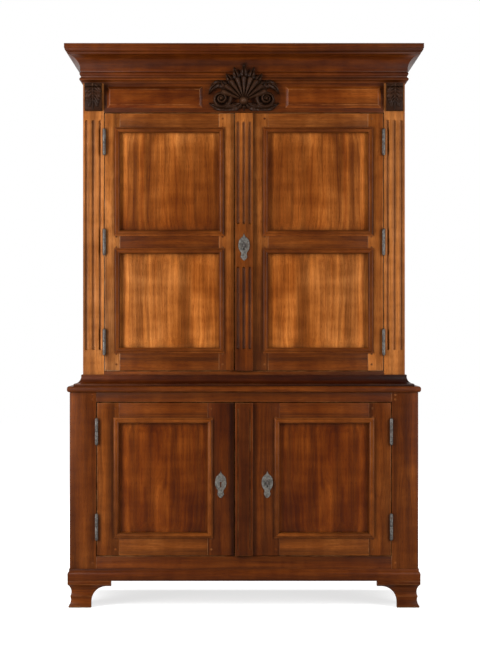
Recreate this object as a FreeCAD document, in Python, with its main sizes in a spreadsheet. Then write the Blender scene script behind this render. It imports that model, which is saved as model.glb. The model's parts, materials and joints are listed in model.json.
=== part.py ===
import FreeCAD, Part
import math
import os
import Sketcher

# A two-part kas cupboard: a wide base on bracket feet, a taller case above it, four panelled doors and a cove cornice.
# The front faces -Y, +Z is up, and the origin is on the floor under the middle of the whole cupboard. Millimetres.

os.makedirs("parts", exist_ok=True)
doc = FreeCAD.newDocument("kas_cupboard")

DIMENSIONS = {
    # The two cases
    "upper_width": 1264,
    "upper_depth": 490,
    "upper_height": 1210,
    "base_width": 1362,
    "base_depth": 524,
    "base_height": 865,
    # Cornice, waist, plinth and feet
    "cornice_height": 125,
    "cornice_projection": 68,
    "cornice_seat": 30,
    "bed_height": 22,
    "bed_projection": 16,
    "waist_height": 44,
    "waist_projection": 34,
    "plinth_height": 46,
    "plinth_projection": 8,
    "foot_height": 105,
    "foot_length": 170,
    "foot_toe": 92,
    "foot_thickness": 26,
    # Carcase joinery
    "base_post_width": 104,
    "upper_post_width": 82,
    "post_depth": 60,
    "back_post_width": 60,
    "back_post_depth": 45,
    "frame_thickness": 30,
    "base_bottom_rail": 95,
    "base_top_rail": 38,
    "upper_bottom_rail": 57,
    "frieze_height": 137,
    "side_rail_height": 100,
    "tenon_length": 28,
    "tenon_shoulder": 13,
    "groove_depth": 9,
    "base_top_thickness": 24,
    "base_top_overhang": 10,
    "floor_thickness": 20,
    "door_stop": 8,
    "shelf_thickness": 18,
    "cleat_width": 20,
    "cleat_height": 24,
    "back_board_thickness": 14,
    "back_board_lap": 10,
    # Doors
    "door_thickness": 29,
    "door_gap": 3,
    "pilaster_width": 70,
    "pilaster_thickness": 14,
    "upper_stile": 60,
    "lower_stile": 86,
    "lower_meeting_stile": 104,
    "upper_top_rail": 76,
    "upper_lock_rail": 92,
    "upper_foot_rail": 90,
    "lower_top_rail": 80,
    "lower_foot_rail": 90,
    "panel_bevel": 44,
    "panel_rise": 8,
    "moulding_width": 22,
    "moulding_height": 11,
    "flute_radius": 7,
    # Ironwork
    "barrel_radius": 6.5,
    "barrel_clear": 0.4,
    "hinge_length": 96,
    "leaf_thickness": 2,
    "leaf_width": 24,
    "pin_radius": 3,
    "running_clear": 0.05,
    "sliding_clear": 0.4,
    "lock_depth": 20,
    "lock_wall": 2,
    "lock_throw": 14,
    "key_radius": 3.5,
    "key_reach": 12,
    "bow_radius": 9.5,
    "plate_thickness": 2,
    "plate_width": 42,
    "plate_height": 108,
    "lower_key_offset": 91,
    "bolt_radius": 4.5,
    "bolt_length": 120,
    # Carving
    "ornament_width": 290,
    "ornament_height": 160,
    "console_projection": 34,
}

SHELF_BAYS = 3
BACK_BOARDS = 6
SHELL_LOBES = 9
FLUTES = 3


class Size:
    """A length that carries its number and the spreadsheet formula behind it."""

    def __init__(self, value, text):
        self.value = value
        self.text = text

    def __add__(self, other):
        other = as_size(other)
        return Size(self.value + other.value, f"({self.text} + {other.text})")

    def __sub__(self, other):
        other = as_size(other)
        return Size(self.value - other.value, f"({self.text} - {other.text})")

    def __mul__(self, factor):
        return Size(self.value * factor, f"({self.text} * {factor:.9g})")

    def __truediv__(self, divisor):
        return Size(self.value / divisor, f"({self.text} / {divisor:.9g})")

    def __neg__(self):
        return Size(-self.value, f"(0 - {self.text})")

    def __radd__(self, other):
        return as_size(other) + self

    def __rsub__(self, other):
        return as_size(other) - self

    __rmul__ = __mul__


def as_size(thing):
    return thing if isinstance(thing, Size) else Size(float(thing), f"({thing:.9g})")


def driving_sizes():
    sheet = doc.addObject("Spreadsheet::Sheet", "Sizes")
    for row, (alias, value) in enumerate(DIMENSIONS.items(), start=1):
        sheet.set(f"A{row}", alias)
        sheet.set(f"B{row}", f"{value}")
        sheet.setAlias(f"B{row}", alias)
    doc.recompute()
    return {alias: Size(float(value), f"Sizes.{alias}") for alias, value in DIMENSIONS.items()}


size = driving_sizes()
ZERO = as_size(0)

# Planes that several pieces share
upper_half = size["upper_width"] / 2
base_half = size["base_width"] / 2
back = (size["upper_depth"] + size["cornice_projection"]) / 2
upper_front = back - size["upper_depth"]
base_front = back - size["base_depth"]
foot_top = size["foot_height"]
base_top = size["base_height"]
base_frame_top = base_top - size["base_top_thickness"]
upper_top = base_top + size["upper_height"]
base_sill = foot_top + size["base_bottom_rail"]
base_head = base_frame_top - size["base_top_rail"]
upper_sill = base_top + size["upper_bottom_rail"]
upper_head = upper_top - size["frieze_height"]
upper_opening = upper_half - size["upper_post_width"]
base_opening = base_half - size["base_post_width"]
meeting_edge = -size["pilaster_width"] / 2

nodes = []


# Helpers for pieces cut from boards
def board(x, y, z):
    solid = doc.addObject("Part::Box", "board")
    for prop, axis, (low, high) in zip(("Length", "Width", "Height"), "xyz", (x, y, z)):
        solid.setExpression(prop, (as_size(high) - low).text)
        solid.setExpression("Placement.Base." + axis, as_size(low).text)
    return solid


def rod(radius, length, at, axis="z"):
    solid = doc.addObject("Part::Cylinder", "rod")
    solid.setExpression("Radius", radius.text)
    solid.setExpression("Height", length.text)
    turn = {"z": (FreeCAD.Vector(0, 0, 1), 0), "y": (FreeCAD.Vector(1, 0, 0), -90)}[axis]
    solid.Placement = FreeCAD.Placement(FreeCAD.Vector(), FreeCAD.Rotation(*turn))
    put(solid, at)
    return solid


def ball(radius, at):
    solid = doc.addObject("Part::Sphere", "ball")
    solid.setExpression("Radius", radius.text)
    put(solid, at)
    return solid


def put(solid, at):
    for axis, value in zip("xyz", at):
        solid.setExpression("Placement.Base." + axis, as_size(value).text)


def fuse(solids):
    if len(solids) == 1:
        return solids[0]
    joined = doc.addObject("Part::MultiFuse", "joined")
    joined.Shapes = solids
    joined.Refine = True
    return joined


def cut(base, tools):
    if not tools:
        return base
    trimmed = doc.addObject("Part::Cut", "trimmed")
    trimmed.Base = base
    trimmed.Tool = fuse(tools)
    trimmed.Refine = True
    return trimmed


def node(label, solids):
    if len(solids) == 1:
        piece = solids[0]
    else:
        piece = doc.addObject("Part::Compound", label)
        piece.Links = solids
    piece.Label = label
    nodes.append(piece)


def span(side, low, high):
    return (low, high) if side > 0 else (-as_size(high), -as_size(low))


def member(along, run, thick, rise):
    return board(run, thick, rise) if along == "x" else board(thick, run, rise)


def middle_third(thick):
    step = (thick[1] - thick[0]) / 3
    return thick[0] + step, thick[1] - step


def rail(along, run, thick, rise, grooves):
    """A tenoned rail, and the two mortises that its posts or stiles need."""
    core = middle_third(thick)
    tongue = (rise[0] + size["tenon_shoulder"], rise[1] - size["tenon_shoulder"])
    reach = size["tenon_length"]
    ends = [(run[0] - reach, run[0]), (run[1], run[1] + reach)]
    slots = [(run[0] - reach - 1, run[0]), (run[1], run[1] + reach + 1)]
    solid = fuse([member(along, run, thick, rise)] + [member(along, end, core, tongue) for end in ends])
    edges = {
        "top": (rise[1] - size["groove_depth"], rise[1]),
        "foot": (rise[0], rise[0] + size["groove_depth"]),
    }
    solid = cut(solid, [member(along, run, core, edges[name]) for name in grooves])
    return solid, [member(along, slot, core, tongue) for slot in slots]


def raised_panel(along, side, run, thick, rise):
    """A fielded panel whose thin edges sit in the grooves of its frame; side is -1 where it faces -X or -Y."""
    core = middle_third(thick)
    hold = size["groove_depth"] - 1
    slack = 0.2
    plate = member(
        along,
        (run[0] - hold, run[1] + hold),
        (core[0] + slack, core[1] - slack),
        (rise[0] - hold, rise[1] + hold),
    )
    bevel = size["panel_bevel"]
    wide = run[1] - run[0]
    tall = rise[1] - rise[0]
    field = doc.addObject("Part::Wedge", "field")
    limits = {
        "Ymin": ZERO,
        "Ymax": size["panel_rise"],
        "X2min": ZERO,
        "X2max": wide,
        "Z2min": ZERO,
        "Z2max": tall,
        "Xmin": bevel,
        "Xmax": wide - bevel,
        "Zmin": bevel,
        "Zmax": tall - bevel,
    }
    for prop, value in limits.items():
        field.setExpression(prop, value.text)
    rise_from = core[0] + slack if side < 0 else core[1] - slack
    if along == "x":
        put(field, (run[0], rise_from - size["panel_rise"], rise[0]))
    elif side < 0:
        field.Placement = FreeCAD.Placement(FreeCAD.Vector(), FreeCAD.Rotation(FreeCAD.Vector(0, 0, 1), -90))
        put(field, (rise_from - size["panel_rise"], run[1], rise[0]))
    else:
        field.Placement = FreeCAD.Placement(FreeCAD.Vector(), FreeCAD.Rotation(FreeCAD.Vector(0, 0, 1), 90))
        put(field, (rise_from + size["panel_rise"], run[0], rise[0]))
    return fuse([plate, field])


# Helpers for pieces drawn as a section
def arc_between(start, end, radius, turn):
    """Circle through two points; turn is 1 for counter-clockwise travel from start to end."""
    chord = end - start
    half = chord.Length / 2
    rise = math.sqrt(max(radius * radius - half * half, 0))
    normal = FreeCAD.Vector(-chord.y, chord.x, 0).normalize()
    centre = (start + end) / 2 + normal * rise * turn
    angles = [math.atan2((p - centre).y, (p - centre).x) for p in (start, end)]
    if turn < 0:
        angles.reverse()
    return Part.ArcOfCircle(Part.Circle(centre, FreeCAD.Vector(0, 0, 1), radius), *angles)


def sketch(body, role, points):
    """A closed outline; a point is (u, v), or (u, v, radius, turn) where an arc arrives at it."""
    drawing = body.newObject("Sketcher::SketchObject", "outline")
    plane = [feature for feature in body.Origin.OriginFeatures if feature.Role == role]
    drawing.AttachmentSupport = [(plane[0], "")]
    drawing.MapMode = "FlatFace"
    spots = [FreeCAD.Vector(as_size(p[0]).value, as_size(p[1]).value, 0) for p in points]
    starts = []
    ends = []
    for index, point in enumerate(points):
        before = spots[index - 1]
        here = spots[index]
        if len(point) == 2:
            drawing.addGeometry(Part.LineSegment(before, here), False)
            starts.append((index, 1))
            ends.append((index, 2))
            continue
        radius = as_size(point[2])
        drawing.addGeometry(arc_between(before, here, radius.value, point[3]), False)
        starts.append((index, 1 if point[3] > 0 else 2))
        ends.append((index, 2 if point[3] > 0 else 1))
        held = drawing.addConstraint(Sketcher.Constraint("Radius", index, radius.value))
        drawing.setExpression(f"Constraints[{held}]", radius.text)
    for index, point in enumerate(points):
        following = (index + 1) % len(points)
        drawing.addConstraint(Sketcher.Constraint("Coincident", *ends[index], *starts[following]))
        if not point[0] and not point[1]:
            drawing.addConstraint(Sketcher.Constraint("Coincident", *ends[index], -1, 1))
            continue
        for kind, value, axis in (("DistanceX", point[0], -2), ("DistanceY", point[1], -1)):
            if not isinstance(value, Size) and value == 0:
                drawing.addConstraint(Sketcher.Constraint("PointOnObject", *ends[index], axis))
                continue
            value = as_size(value)
            held = drawing.addConstraint(Sketcher.Constraint(kind, -1, 1, *ends[index], value.value))
            drawing.setExpression(f"Constraints[{held}]", value.text)
    return drawing


def pocket(body, role, points):
    trench = body.newObject("PartDesign::Pocket", "trench")
    trench.Profile = sketch(body, role, points)
    trench.Type = "ThroughAll"
    trench.SideType = "Symmetric"


FACINGS = {
    "front": ((-1, 0, 0), (0, -1, 0), (0, 0, 1)),
    "left": ((0, 1, 0), (-1, 0, 0), (0, 0, 1)),
    "right": ((0, -1, 0), (1, 0, 0), (0, 0, 1)),
    "door_top": ((1, 0, 0), (0, 0, 1), (0, -1, 0)),
    "door_foot": ((-1, 0, 0), (0, 0, -1), (0, -1, 0)),
    "door_left": ((0, 0, 1), (-1, 0, 0), (0, -1, 0)),
    "door_right": ((0, 0, -1), (1, 0, 0), (0, -1, 0)),
}


def length_of(profile, run, width, mitres, facing, start, trims=()):
    """A length of moulding: its section padded along the run, mitred at the ends that ask for it.

    The run is measured where the section touches the work, and start is the world point where it begins.
    """
    axes = FACINGS[facing]
    lead = width if mitres[0] else ZERO
    tail = width if mitres[1] else ZERO
    total = run + lead + tail
    body = doc.addObject("PartDesign::Body", "length")
    turn = FreeCAD.Rotation(*[FreeCAD.Vector(*axis) for axis in axes], "ZXY")
    body.Placement = FreeCAD.Placement(FreeCAD.Vector(), turn)
    put(body, [as_size(value) - lead * step for value, step in zip(start, axes[0])])
    pad = body.newObject("PartDesign::Pad", "stick")
    pad.Profile = sketch(body, "YZ_Plane", profile)
    pad.setExpression("Length", total.text)
    if mitres[0]:
        pocket(body, "XY_Plane", [(0, 0), (width, 0), (0, width)])
    if mitres[1]:
        pocket(body, "XY_Plane", [(run + lead, 0), (total, 0), (total, width)])
    for outline in trims:
        pocket(body, "XZ_Plane", outline)
    return body


def three_sides(profile, width, half, front, level, inset=ZERO):
    """Front and side lengths of a moulding that goes round a case, mitred at the front corners."""
    side_run = back - front - inset
    inner = half - inset
    return [
        length_of(profile, inner * 2, width, (True, True), "front", (inner, front + inset, level)),
        length_of(profile, side_run, width, (True, False), "left", (-inner, front + inset, level)),
        length_of(profile, side_run, width, (False, True), "right", (inner, back, level)),
    ]


def quarter(start, end):
    """Radius of a nearly quarter-round arc between two section points."""
    across = abs(as_size(end[0]).value - as_size(start[0]).value)
    along = abs(as_size(end[1]).value - as_size(start[1]).value)
    return math.hypot(across, along) / math.sqrt(2)


def crown_profile():
    seat = size["cornice_seat"]
    reach = size["cornice_projection"]
    rise = size["cornice_height"]
    foot = seat + reach * 0.12
    cove_start = (seat + reach * 0.16, rise * 0.2)
    cove_end = (seat + reach * 0.82, rise * 0.68)
    ovolo_start = (seat + reach * 0.82, rise * 0.74)
    ovolo_end = (seat + reach * 0.97, rise * 0.86)
    return [
        (0, 0),
        (foot, 0),
        (foot, rise * 0.05),
        (foot, rise * 0.17, rise * 0.066, 1),
        (foot, rise * 0.2),
        cove_start,
        (*cove_end, quarter(cove_start, cove_end), -1),
        ovolo_start,
        (*ovolo_end, quarter(ovolo_start, ovolo_end), 1),
        (seat + reach, rise * 0.86),
        (seat + reach, rise),
        (seat + reach * 0.55, rise),
        (0, rise * 0.34),
    ]


def bed_profile():
    reach = size["bed_projection"]
    rise = size["bed_height"]
    cove_start = (reach * 0.2, rise * 0.08)
    cove_end = (reach * 0.6, rise * 0.42)
    return [
        (0, 0),
        (reach * 0.2, 0),
        cove_start,
        (*cove_end, quarter(cove_start, cove_end), -1),
        (reach * 0.6, rise * 0.95, rise * 0.28, 1),
        (reach * 0.6, rise),
        (0, rise),
    ]


def waist_profile():
    reach = size["waist_projection"]
    rise = size["waist_height"]
    cove_start = (reach, rise * 0.2)
    cove_end = (reach * 0.2, rise * 0.86)
    return [
        (0, 0),
        (reach, 0),
        cove_start,
        (*cove_end, quarter(cove_start, cove_end), -1),
        (reach * 0.2, rise),
        (0, rise),
    ]


def plinth_profile():
    reach = size["plinth_projection"]
    rise = size["plinth_height"]
    ovolo_start = (reach, rise * 0.45)
    ovolo_end = (reach * 0.3, rise * 0.8)
    return [
        (0, 0),
        (reach, 0),
        ovolo_start,
        (*ovolo_end, quarter(ovolo_start, ovolo_end) * 1.3, 1),
        (reach * 0.3, rise),
        (0, rise),
    ]


def panel_moulding_profile():
    reach = size["moulding_width"]
    rise = size["moulding_height"]
    round_end = (reach * 0.42, rise)
    hollow_start = (reach * 0.6, rise)
    hollow_end = (reach, rise * 0.3)
    return [
        (0, 0),
        (reach, 0),
        hollow_end,
        (*hollow_start, quarter(hollow_start, hollow_end), -1),
        round_end,
        (0, rise * 0.35, quarter(round_end, (0, rise * 0.35)), 1),
    ]


def ogee_profile():
    """Section of a bracket foot, drawn from the back of the bracket outwards: a swelling shoulder over a hollow ankle."""
    thick = size["foot_thickness"]
    rise = size["foot_height"]
    toe = (thick * 0.86, rise * 0.06)
    ankle = (thick * 0.62, rise * 0.42)
    shoulder = (thick, rise * 0.86)
    return [
        (0, 0),
        (thick * 0.86, 0),
        toe,
        (*ankle, rise * 0.36, -1),
        (*shoulder, rise * 0.36, -1),
        (thick, rise),
        (0, rise),
    ]


def console_profile():
    reach = size["console_projection"]
    rise = size["frieze_height"] - size["bed_height"] - 8
    return [
        (0, 0),
        (reach * 0.2, 0),
        (reach * 0.42, rise * 0.1, rise * 0.12, 1),
        (reach * 0.46, rise * 0.5, rise * 0.5, 1),
        (reach * 0.62, rise * 0.62, rise * 0.26, -1),
        (reach * 0.72, rise * 0.88, rise * 0.16, 1),
        (reach * 0.95, rise * 0.88),
        (reach * 0.95, rise),
        (0, rise),
    ]


# Hinges
def hinge(side, opening, front, height):
    """The two halves of a lift-off hinge and the beds its leaves need in the post and in the door."""
    gap = size["door_gap"]
    leaf = size["leaf_thickness"]
    half = size["hinge_length"] / 2
    centre_x = (opening - gap / 2) if side > 0 else (gap / 2 - opening)
    centre_y = front - size["barrel_radius"] - size["barrel_clear"]
    post_leaf = span(side, opening, opening + leaf)
    door_leaf = span(side, opening - gap - leaf, opening - gap)
    deep = (front, front + size["leaf_width"])
    tall = (height - half, height + half)
    low = (height - half, height)
    high = (height + size["sliding_clear"], height + half)
    barrel = size["barrel_radius"]
    fixed = fuse(
        [
            board(post_leaf, deep, tall),
            board(post_leaf, (centre_y, front), low),
            rod(barrel, half, (centre_x, centre_y, low[0])),
            rod(size["pin_radius"], half * 1.8, (centre_x, centre_y, low[0])),
            ball(barrel * 0.85, (centre_x, centre_y, low[0])),
        ]
    )
    swinging = fuse(
        [
            board(door_leaf, deep, tall),
            board(door_leaf, (centre_y, front), high),
            rod(barrel, high[1] - high[0], (centre_x, centre_y, high[0])),
            ball(barrel * 0.85, (centre_x, centre_y, high[1])),
        ]
    )
    bore = rod(size["pin_radius"] + size["running_clear"], half * 0.85, (centre_x, centre_y, height))
    return {
        "fixed": fixed,
        "swinging": cut(swinging, [bore]),
        "post_bed": board(post_leaf, deep, tall),
        "door_bed": board(door_leaf, deep, tall),
    }


def hinge_heights(low, high, count):
    inset = size["hinge_length"] * 1.2
    step = (high - low - inset * 2) / (count - 1)
    return [low + inset + step * index for index in range(count)]


upper_hinges = {side: [hinge(side, upper_opening, upper_front, height)
                       for height in hinge_heights(upper_sill, upper_head, 3)] for side in (-1, 1)}
lower_hinges = {side: [hinge(side, base_opening, base_front, height)
                       for height in hinge_heights(base_sill, base_head, 2)] for side in (-1, 1)}


# Carcase frames
def flutes(low_x, width, face, low_z, high_z):
    """Round-ended hollows down the face of a post or pilaster."""
    pitch = width / FLUTES
    radius = size["flute_radius"]
    tools = []
    for index in range(FLUTES):
        x = low_x + pitch * (index + 0.5)
        tools.append(rod(radius, high_z - low_z, (x, face, low_z)))
        tools.append(ball(radius, (x, face, low_z)))
        tools.append(ball(radius, (x, face, high_z)))
    return tools


def case_frame(name, half, front, low, high, post_width, rails, front_rails, hinges, fluted):
    """Posts, rails and side panels of one case; rails are the heights of its side rails, from the bottom up."""
    front_run = (front + size["post_depth"], back - size["back_post_depth"])
    thick = (front, front + size["frame_thickness"])
    opening = half - post_width
    post_cuts = {-1: [], 1: []}
    back_cuts = {-1: [], 1: []}
    front_solids = []
    for rise in front_rails:
        solid, slots = rail("x", (-opening, opening), thick, rise, [])
        front_solids.append(solid)
        post_cuts[-1].append(slots[0])
        post_cuts[1].append(slots[1])
    rail_solids = []
    panel_solids = []
    for side in (-1, 1):
        skin = span(side, half - size["frame_thickness"], half)
        for index, rise in enumerate(rails):
            grooves = [edge for edge, there in (("foot", index > 0), ("top", index < len(rails) - 1)) if there]
            solid, slots = rail("y", front_run, skin, rise, grooves)
            rail_solids.append(solid)
            post_cuts[side].append(slots[0])
            back_cuts[side].append(slots[1])
        for under, over in zip(rails, rails[1:]):
            panel_solids.append(raised_panel("y", side, front_run, skin, (under[1], over[0])))
        groove = middle_third(skin)
        reach = (rails[0][1] - size["groove_depth"], rails[-1][0] + size["groove_depth"])
        post_cuts[side].append(board(groove, (front_run[0] - size["groove_depth"], front_run[0]), reach))
        back_cuts[side].append(board(groove, (front_run[1], front_run[1] + size["groove_depth"]), reach))
        post_cuts[side].extend(pair["post_bed"] for pair in hinges[side])
    front_posts = []
    back_posts = []
    for side in (-1, 1):
        width = span(side, half - post_width, half)
        if fluted:
            post_cuts[side].extend(flutes(width[0], post_width, front, fluted[0], fluted[1]))
        front_posts.append(cut(board(width, (front, front + size["post_depth"]), (low, high)), post_cuts[side]))
        narrow = span(side, half - size["back_post_width"], half)
        back_posts.append(cut(board(narrow, (back - size["back_post_depth"], back), (low, high)), back_cuts[side]))
    node(name + "_front_posts", front_posts)
    node(name + "_back_posts", back_posts)
    node(name + "_side_rails", rail_solids)
    node(name + "_side_panels", panel_solids)
    return front_solids


def notched_board(half, front, post_width, y, z):
    """A board that fills a case from side to side, let in round the four posts."""
    wide = half - size["frame_thickness"]
    corners = []
    for side in (-1, 1):
        corners.append(board(span(side, half - post_width, half), (front, front + size["post_depth"]), z))
        narrow = span(side, half - size["back_post_width"], half)
        corners.append(board(narrow, (back - size["back_post_depth"], back), z))
    return cut(board((-wide, wide), y, z), corners)


def back_boards(half, low, high):
    """Upright boards half-lapped to each other between the back posts."""
    inner = half - size["back_post_width"]
    pitch = inner * 2 / BACK_BOARDS
    middle = back - size["back_board_thickness"] / 2
    lap = size["back_board_lap"]
    boards = []
    for index in range(BACK_BOARDS):
        left = pitch * index - inner
        right = left + pitch
        last = index == BACK_BOARDS - 1
        inside = (left, right if last else right - 0.5)
        outside = (left if index == 0 else left + lap, right if last else right + lap - 0.5)
        boards.append(
            fuse(
                [
                    board(inside, (back - size["back_board_thickness"], middle), (low, high)),
                    board(outside, (middle, back), (low, high)),
                ]
            )
        )
    return boards


def shelf_cleats(half, front, tops):
    run = (front + size["post_depth"], back - size["back_post_depth"])
    cleats = []
    for side in (-1, 1):
        inner = half - size["frame_thickness"]
        across = span(side, inner - size["cleat_width"], inner)
        cleats.extend(board(across, run, (top - size["cleat_height"], top)) for top in tops)
    return cleats


def shelves(half, front, post_width, tops):
    deep = (front + size["post_depth"], back - size["back_board_thickness"])
    return [notched_board(half, front, post_width, deep, (top, top + size["shelf_thickness"])) for top in tops]


def build_base():
    tall = size["side_rail_height"]
    low_rail = (foot_top, foot_top + tall)
    high_rail = (base_frame_top - tall, base_frame_top)
    front_rails = [(foot_top, base_sill), (base_head, base_frame_top)]
    solids = case_frame("base", base_half, base_front, foot_top, base_frame_top, size["base_post_width"],
                        [low_rail, high_rail], front_rails, lower_hinges, None)
    node("base_front_rails", solids)
    floor_top = base_sill + size["door_stop"]
    deep = (base_front + size["frame_thickness"], back - size["back_board_thickness"])
    floor = notched_board(base_half, base_front, size["base_post_width"], deep,
                          (floor_top - size["floor_thickness"], floor_top))
    node("base_floor", [floor])
    shelf_top = (floor_top + base_head) / 2
    node("base_shelf", shelves(base_half, base_front, size["base_post_width"], [shelf_top]))
    base_cleats = shelf_cleats(base_half, base_front, [shelf_top])
    node("base_back_boards", back_boards(base_half, foot_top, base_frame_top))
    over = size["base_top_overhang"]
    slab = board((-base_half - over, base_half + over), (base_front - over, back), (base_frame_top, base_top))
    doc.recompute()
    nosing = doc.addObject("Part::Fillet", "nosing")
    nosing.Base = slab
    radius = size["base_top_thickness"].value * 0.4
    nosing.Edges = [(index, radius, radius) for index, edge in enumerate(slab.Shape.Edges, start=1) if outer_edge(edge)]
    node("base_top_board", [nosing])
    waist = three_sides(waist_profile(), size["waist_projection"], upper_half, upper_front, base_top)
    node("waist_moulding", waist)
    plinth = three_sides(plinth_profile(), size["plinth_projection"], base_half, base_front, foot_top)
    node("plinth_moulding", plinth)
    build_feet()
    return base_cleats


def outer_edge(edge):
    """True for the level edges of the base top that show at the front and the sides."""
    centre = edge.CenterOfMass
    level = abs(edge.Vertexes[0].Z - edge.Vertexes[-1].Z) < 0.01
    at_side = abs(abs(centre.x) - base_half.value - size["base_top_overhang"].value) < 0.01
    at_front = abs(centre.y - base_front.value + size["base_top_overhang"].value) < 0.01
    return level and (at_side or at_front)


def foot_trim(length, corner_first):
    """The sawn curve under a bracket: a quarter hollow from the toe up to a short level under the rail."""
    toe = size["foot_toe"]
    rise = size["foot_height"]
    top = rise * 0.8
    spots = [(toe, 0), (toe, rise * 0.22), (length * 0.88, top), (length, top), (length, 0)]
    radius = quarter(spots[1], spots[2]) * 1.05
    turn = -1
    if not corner_first:
        spots = [(length - x, z) for x, z in spots[:-2]] + [(0, top), (0, 0)]
        turn = 1
    outline = [spots[0], spots[1], (*spots[2], radius, turn), spots[3], spots[4]]
    return outline


def build_feet():
    """Ogee bracket feet: two mitred brackets at each front corner, one bracket at the back of each side."""
    thick = size["foot_thickness"]
    reach = size["plinth_projection"]
    inset = thick - reach
    run = size["foot_length"] - thick
    length = size["foot_length"]
    inner = base_half - inset
    line = base_front + inset
    profile = ogee_profile()
    brackets = [
        length_of(profile, run, thick, (True, False), "front", (inner, line, ZERO), [foot_trim(length, True)]),
        length_of(profile, run, thick, (False, True), "front", (run - inner, line, ZERO), [foot_trim(length, False)]),
        length_of(profile, run, thick, (True, False), "left", (-inner, line, ZERO), [foot_trim(length, True)]),
        length_of(profile, run, thick, (False, True), "right", (inner, line + run, ZERO), [foot_trim(length, False)]),
        length_of(profile, length, thick, (False, False), "left", (-inner, back - length, ZERO),
                  [foot_trim(length, False)]),
        length_of(profile, length, thick, (False, False), "right", (inner, back, ZERO), [foot_trim(length, True)]),
    ]
    node("bracket_feet", brackets)


def build_upper(base_cleats):
    tall = size["side_rail_height"]
    middle = (upper_sill + upper_head) / 2
    rails = [(base_top, base_top + tall), (middle - tall / 2, middle + tall / 2), (upper_head - tall * 0.2, upper_top)]
    front_rails = [(base_top, upper_sill), (upper_head, upper_top)]
    fluted = (upper_sill + tall * 0.9, upper_head - tall * 0.35)
    solids = case_frame("upper", upper_half, upper_front, base_top, upper_top, size["upper_post_width"],
                        rails, front_rails, upper_hinges, fluted)
    node("upper_bottom_rail", [solids[0]])
    node("frieze_rail", [solids[1]])
    floor_top = upper_sill + size["door_stop"]
    deep = (upper_front + size["frame_thickness"], back - size["back_board_thickness"])
    post = size["upper_post_width"]
    floor = notched_board(upper_half, upper_front, post, deep, (floor_top - size["floor_thickness"], floor_top))
    node("upper_floor", [floor])
    ceiling = notched_board(upper_half, upper_front, post, deep, (upper_top - size["floor_thickness"], upper_top))
    node("upper_ceiling", [ceiling])
    bay = (upper_head - floor_top) / SHELF_BAYS
    tops = [floor_top + bay * index for index in range(1, SHELF_BAYS)]
    node("upper_shelves", shelves(upper_half, upper_front, post, tops))
    node("shelf_cleats", base_cleats + shelf_cleats(upper_half, upper_front, tops))
    node("upper_back_boards", back_boards(upper_half, base_top, upper_top))
    bed = three_sides(bed_profile(), size["bed_projection"], upper_half, upper_front, upper_top - size["bed_height"])
    node("bed_moulding", bed)
    crown_width = size["cornice_projection"] + size["cornice_seat"]
    crown = three_sides(crown_profile(), crown_width, upper_half, upper_front, upper_top, size["cornice_seat"])
    node("crown_moulding", crown)
    build_frieze()


def frieze_panel(side):
    """A low cushion panel on the frieze, between the ornament and the corner console."""
    across = span(side, size["ornament_width"] * 0.56, upper_opening - 12)
    rise = (upper_head + 18, upper_top - size["bed_height"] - 12)
    edge = 12
    cushion = doc.addObject("Part::Wedge", "cushion")
    wide = across[1] - across[0]
    tall = rise[1] - rise[0]
    limits = {
        "Ymin": ZERO,
        "Ymax": size["panel_rise"],
        "X2min": ZERO,
        "X2max": wide,
        "Z2min": ZERO,
        "Z2max": tall,
        "Xmin": as_size(edge),
        "Xmax": wide - edge,
        "Zmin": as_size(edge),
        "Zmax": tall - edge,
    }
    for prop, value in limits.items():
        cushion.setExpression(prop, value.text)
    put(cushion, (across[0], upper_front - size["panel_rise"], rise[0]))
    return cushion


def lobe(hub, near, far, radius, angle):
    """A rib of the shell: a cone that widens away from the hub, with a round end."""
    slope = math.radians(angle)
    outward = FreeCAD.Vector(math.cos(slope), 0, math.sin(slope))
    solid = doc.addObject("Part::Cone", "rib")
    solid.setExpression("Radius1", (radius * 0.45).text)
    solid.setExpression("Radius2", radius.text)
    solid.setExpression("Height", (far - near).text)
    solid.Placement = FreeCAD.Placement(FreeCAD.Vector(), FreeCAD.Rotation(FreeCAD.Vector(0, 0, 1), outward))
    put(solid, (hub[0] + near * outward.x, hub[1], hub[2] + near * outward.z))
    tip = (hub[0] + far * outward.x, hub[1], hub[2] + far * outward.z)
    return [solid, ball(radius, tip)]


def volute(eye, radius, thick):
    ring = doc.addObject("Part::Torus", "volute")
    ring.setExpression("Radius1", radius.text)
    ring.setExpression("Radius2", thick.text)
    ring.Placement = FreeCAD.Placement(FreeCAD.Vector(), FreeCAD.Rotation(FreeCAD.Vector(1, 0, 0), 90))
    put(ring, eye)
    return [ring, ball(radius * 0.55, eye)]


def build_ornament():
    """The carving over the doors: a fan of shell ribs between two volutes with leaf tips, on a shaped board."""
    wide = size["ornament_width"]
    tall = size["ornament_height"]
    hub = (ZERO, upper_front - 19, upper_head + tall * 0.25)
    low = upper_head + 10
    solids = [
        board((-wide * 0.4, wide * 0.4), (upper_front - 12, upper_front), (low, low + tall * 0.48)),
        ball(tall * 0.13, hub),
    ]
    for index in range(SHELL_LOBES):
        angle = 90 + 144 * (index / (SHELL_LOBES - 1) - 0.5)
        solids.extend(lobe(hub, tall * 0.1, tall * 0.6, tall * 0.088, angle))
    for side in (-1, 1):
        eye = (wide * 0.33 * side, hub[1], hub[2] - tall * 0.02)
        solids.extend(volute(eye, tall * 0.13, tall * 0.06))
        solids.extend(lobe(eye, tall * 0.13, tall * 0.36, tall * 0.07, 90 - 35 * side))
    notch = board((-wide, wide), (upper_front - 20, upper_front), (upper_top - size["bed_height"] - 1, upper_top + tall))
    behind = board((-wide, wide), (upper_front, upper_front + wide), (upper_head - tall, upper_top + tall))
    node("frieze_ornament", [cut(fuse(solids), [notch, behind])])


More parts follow.
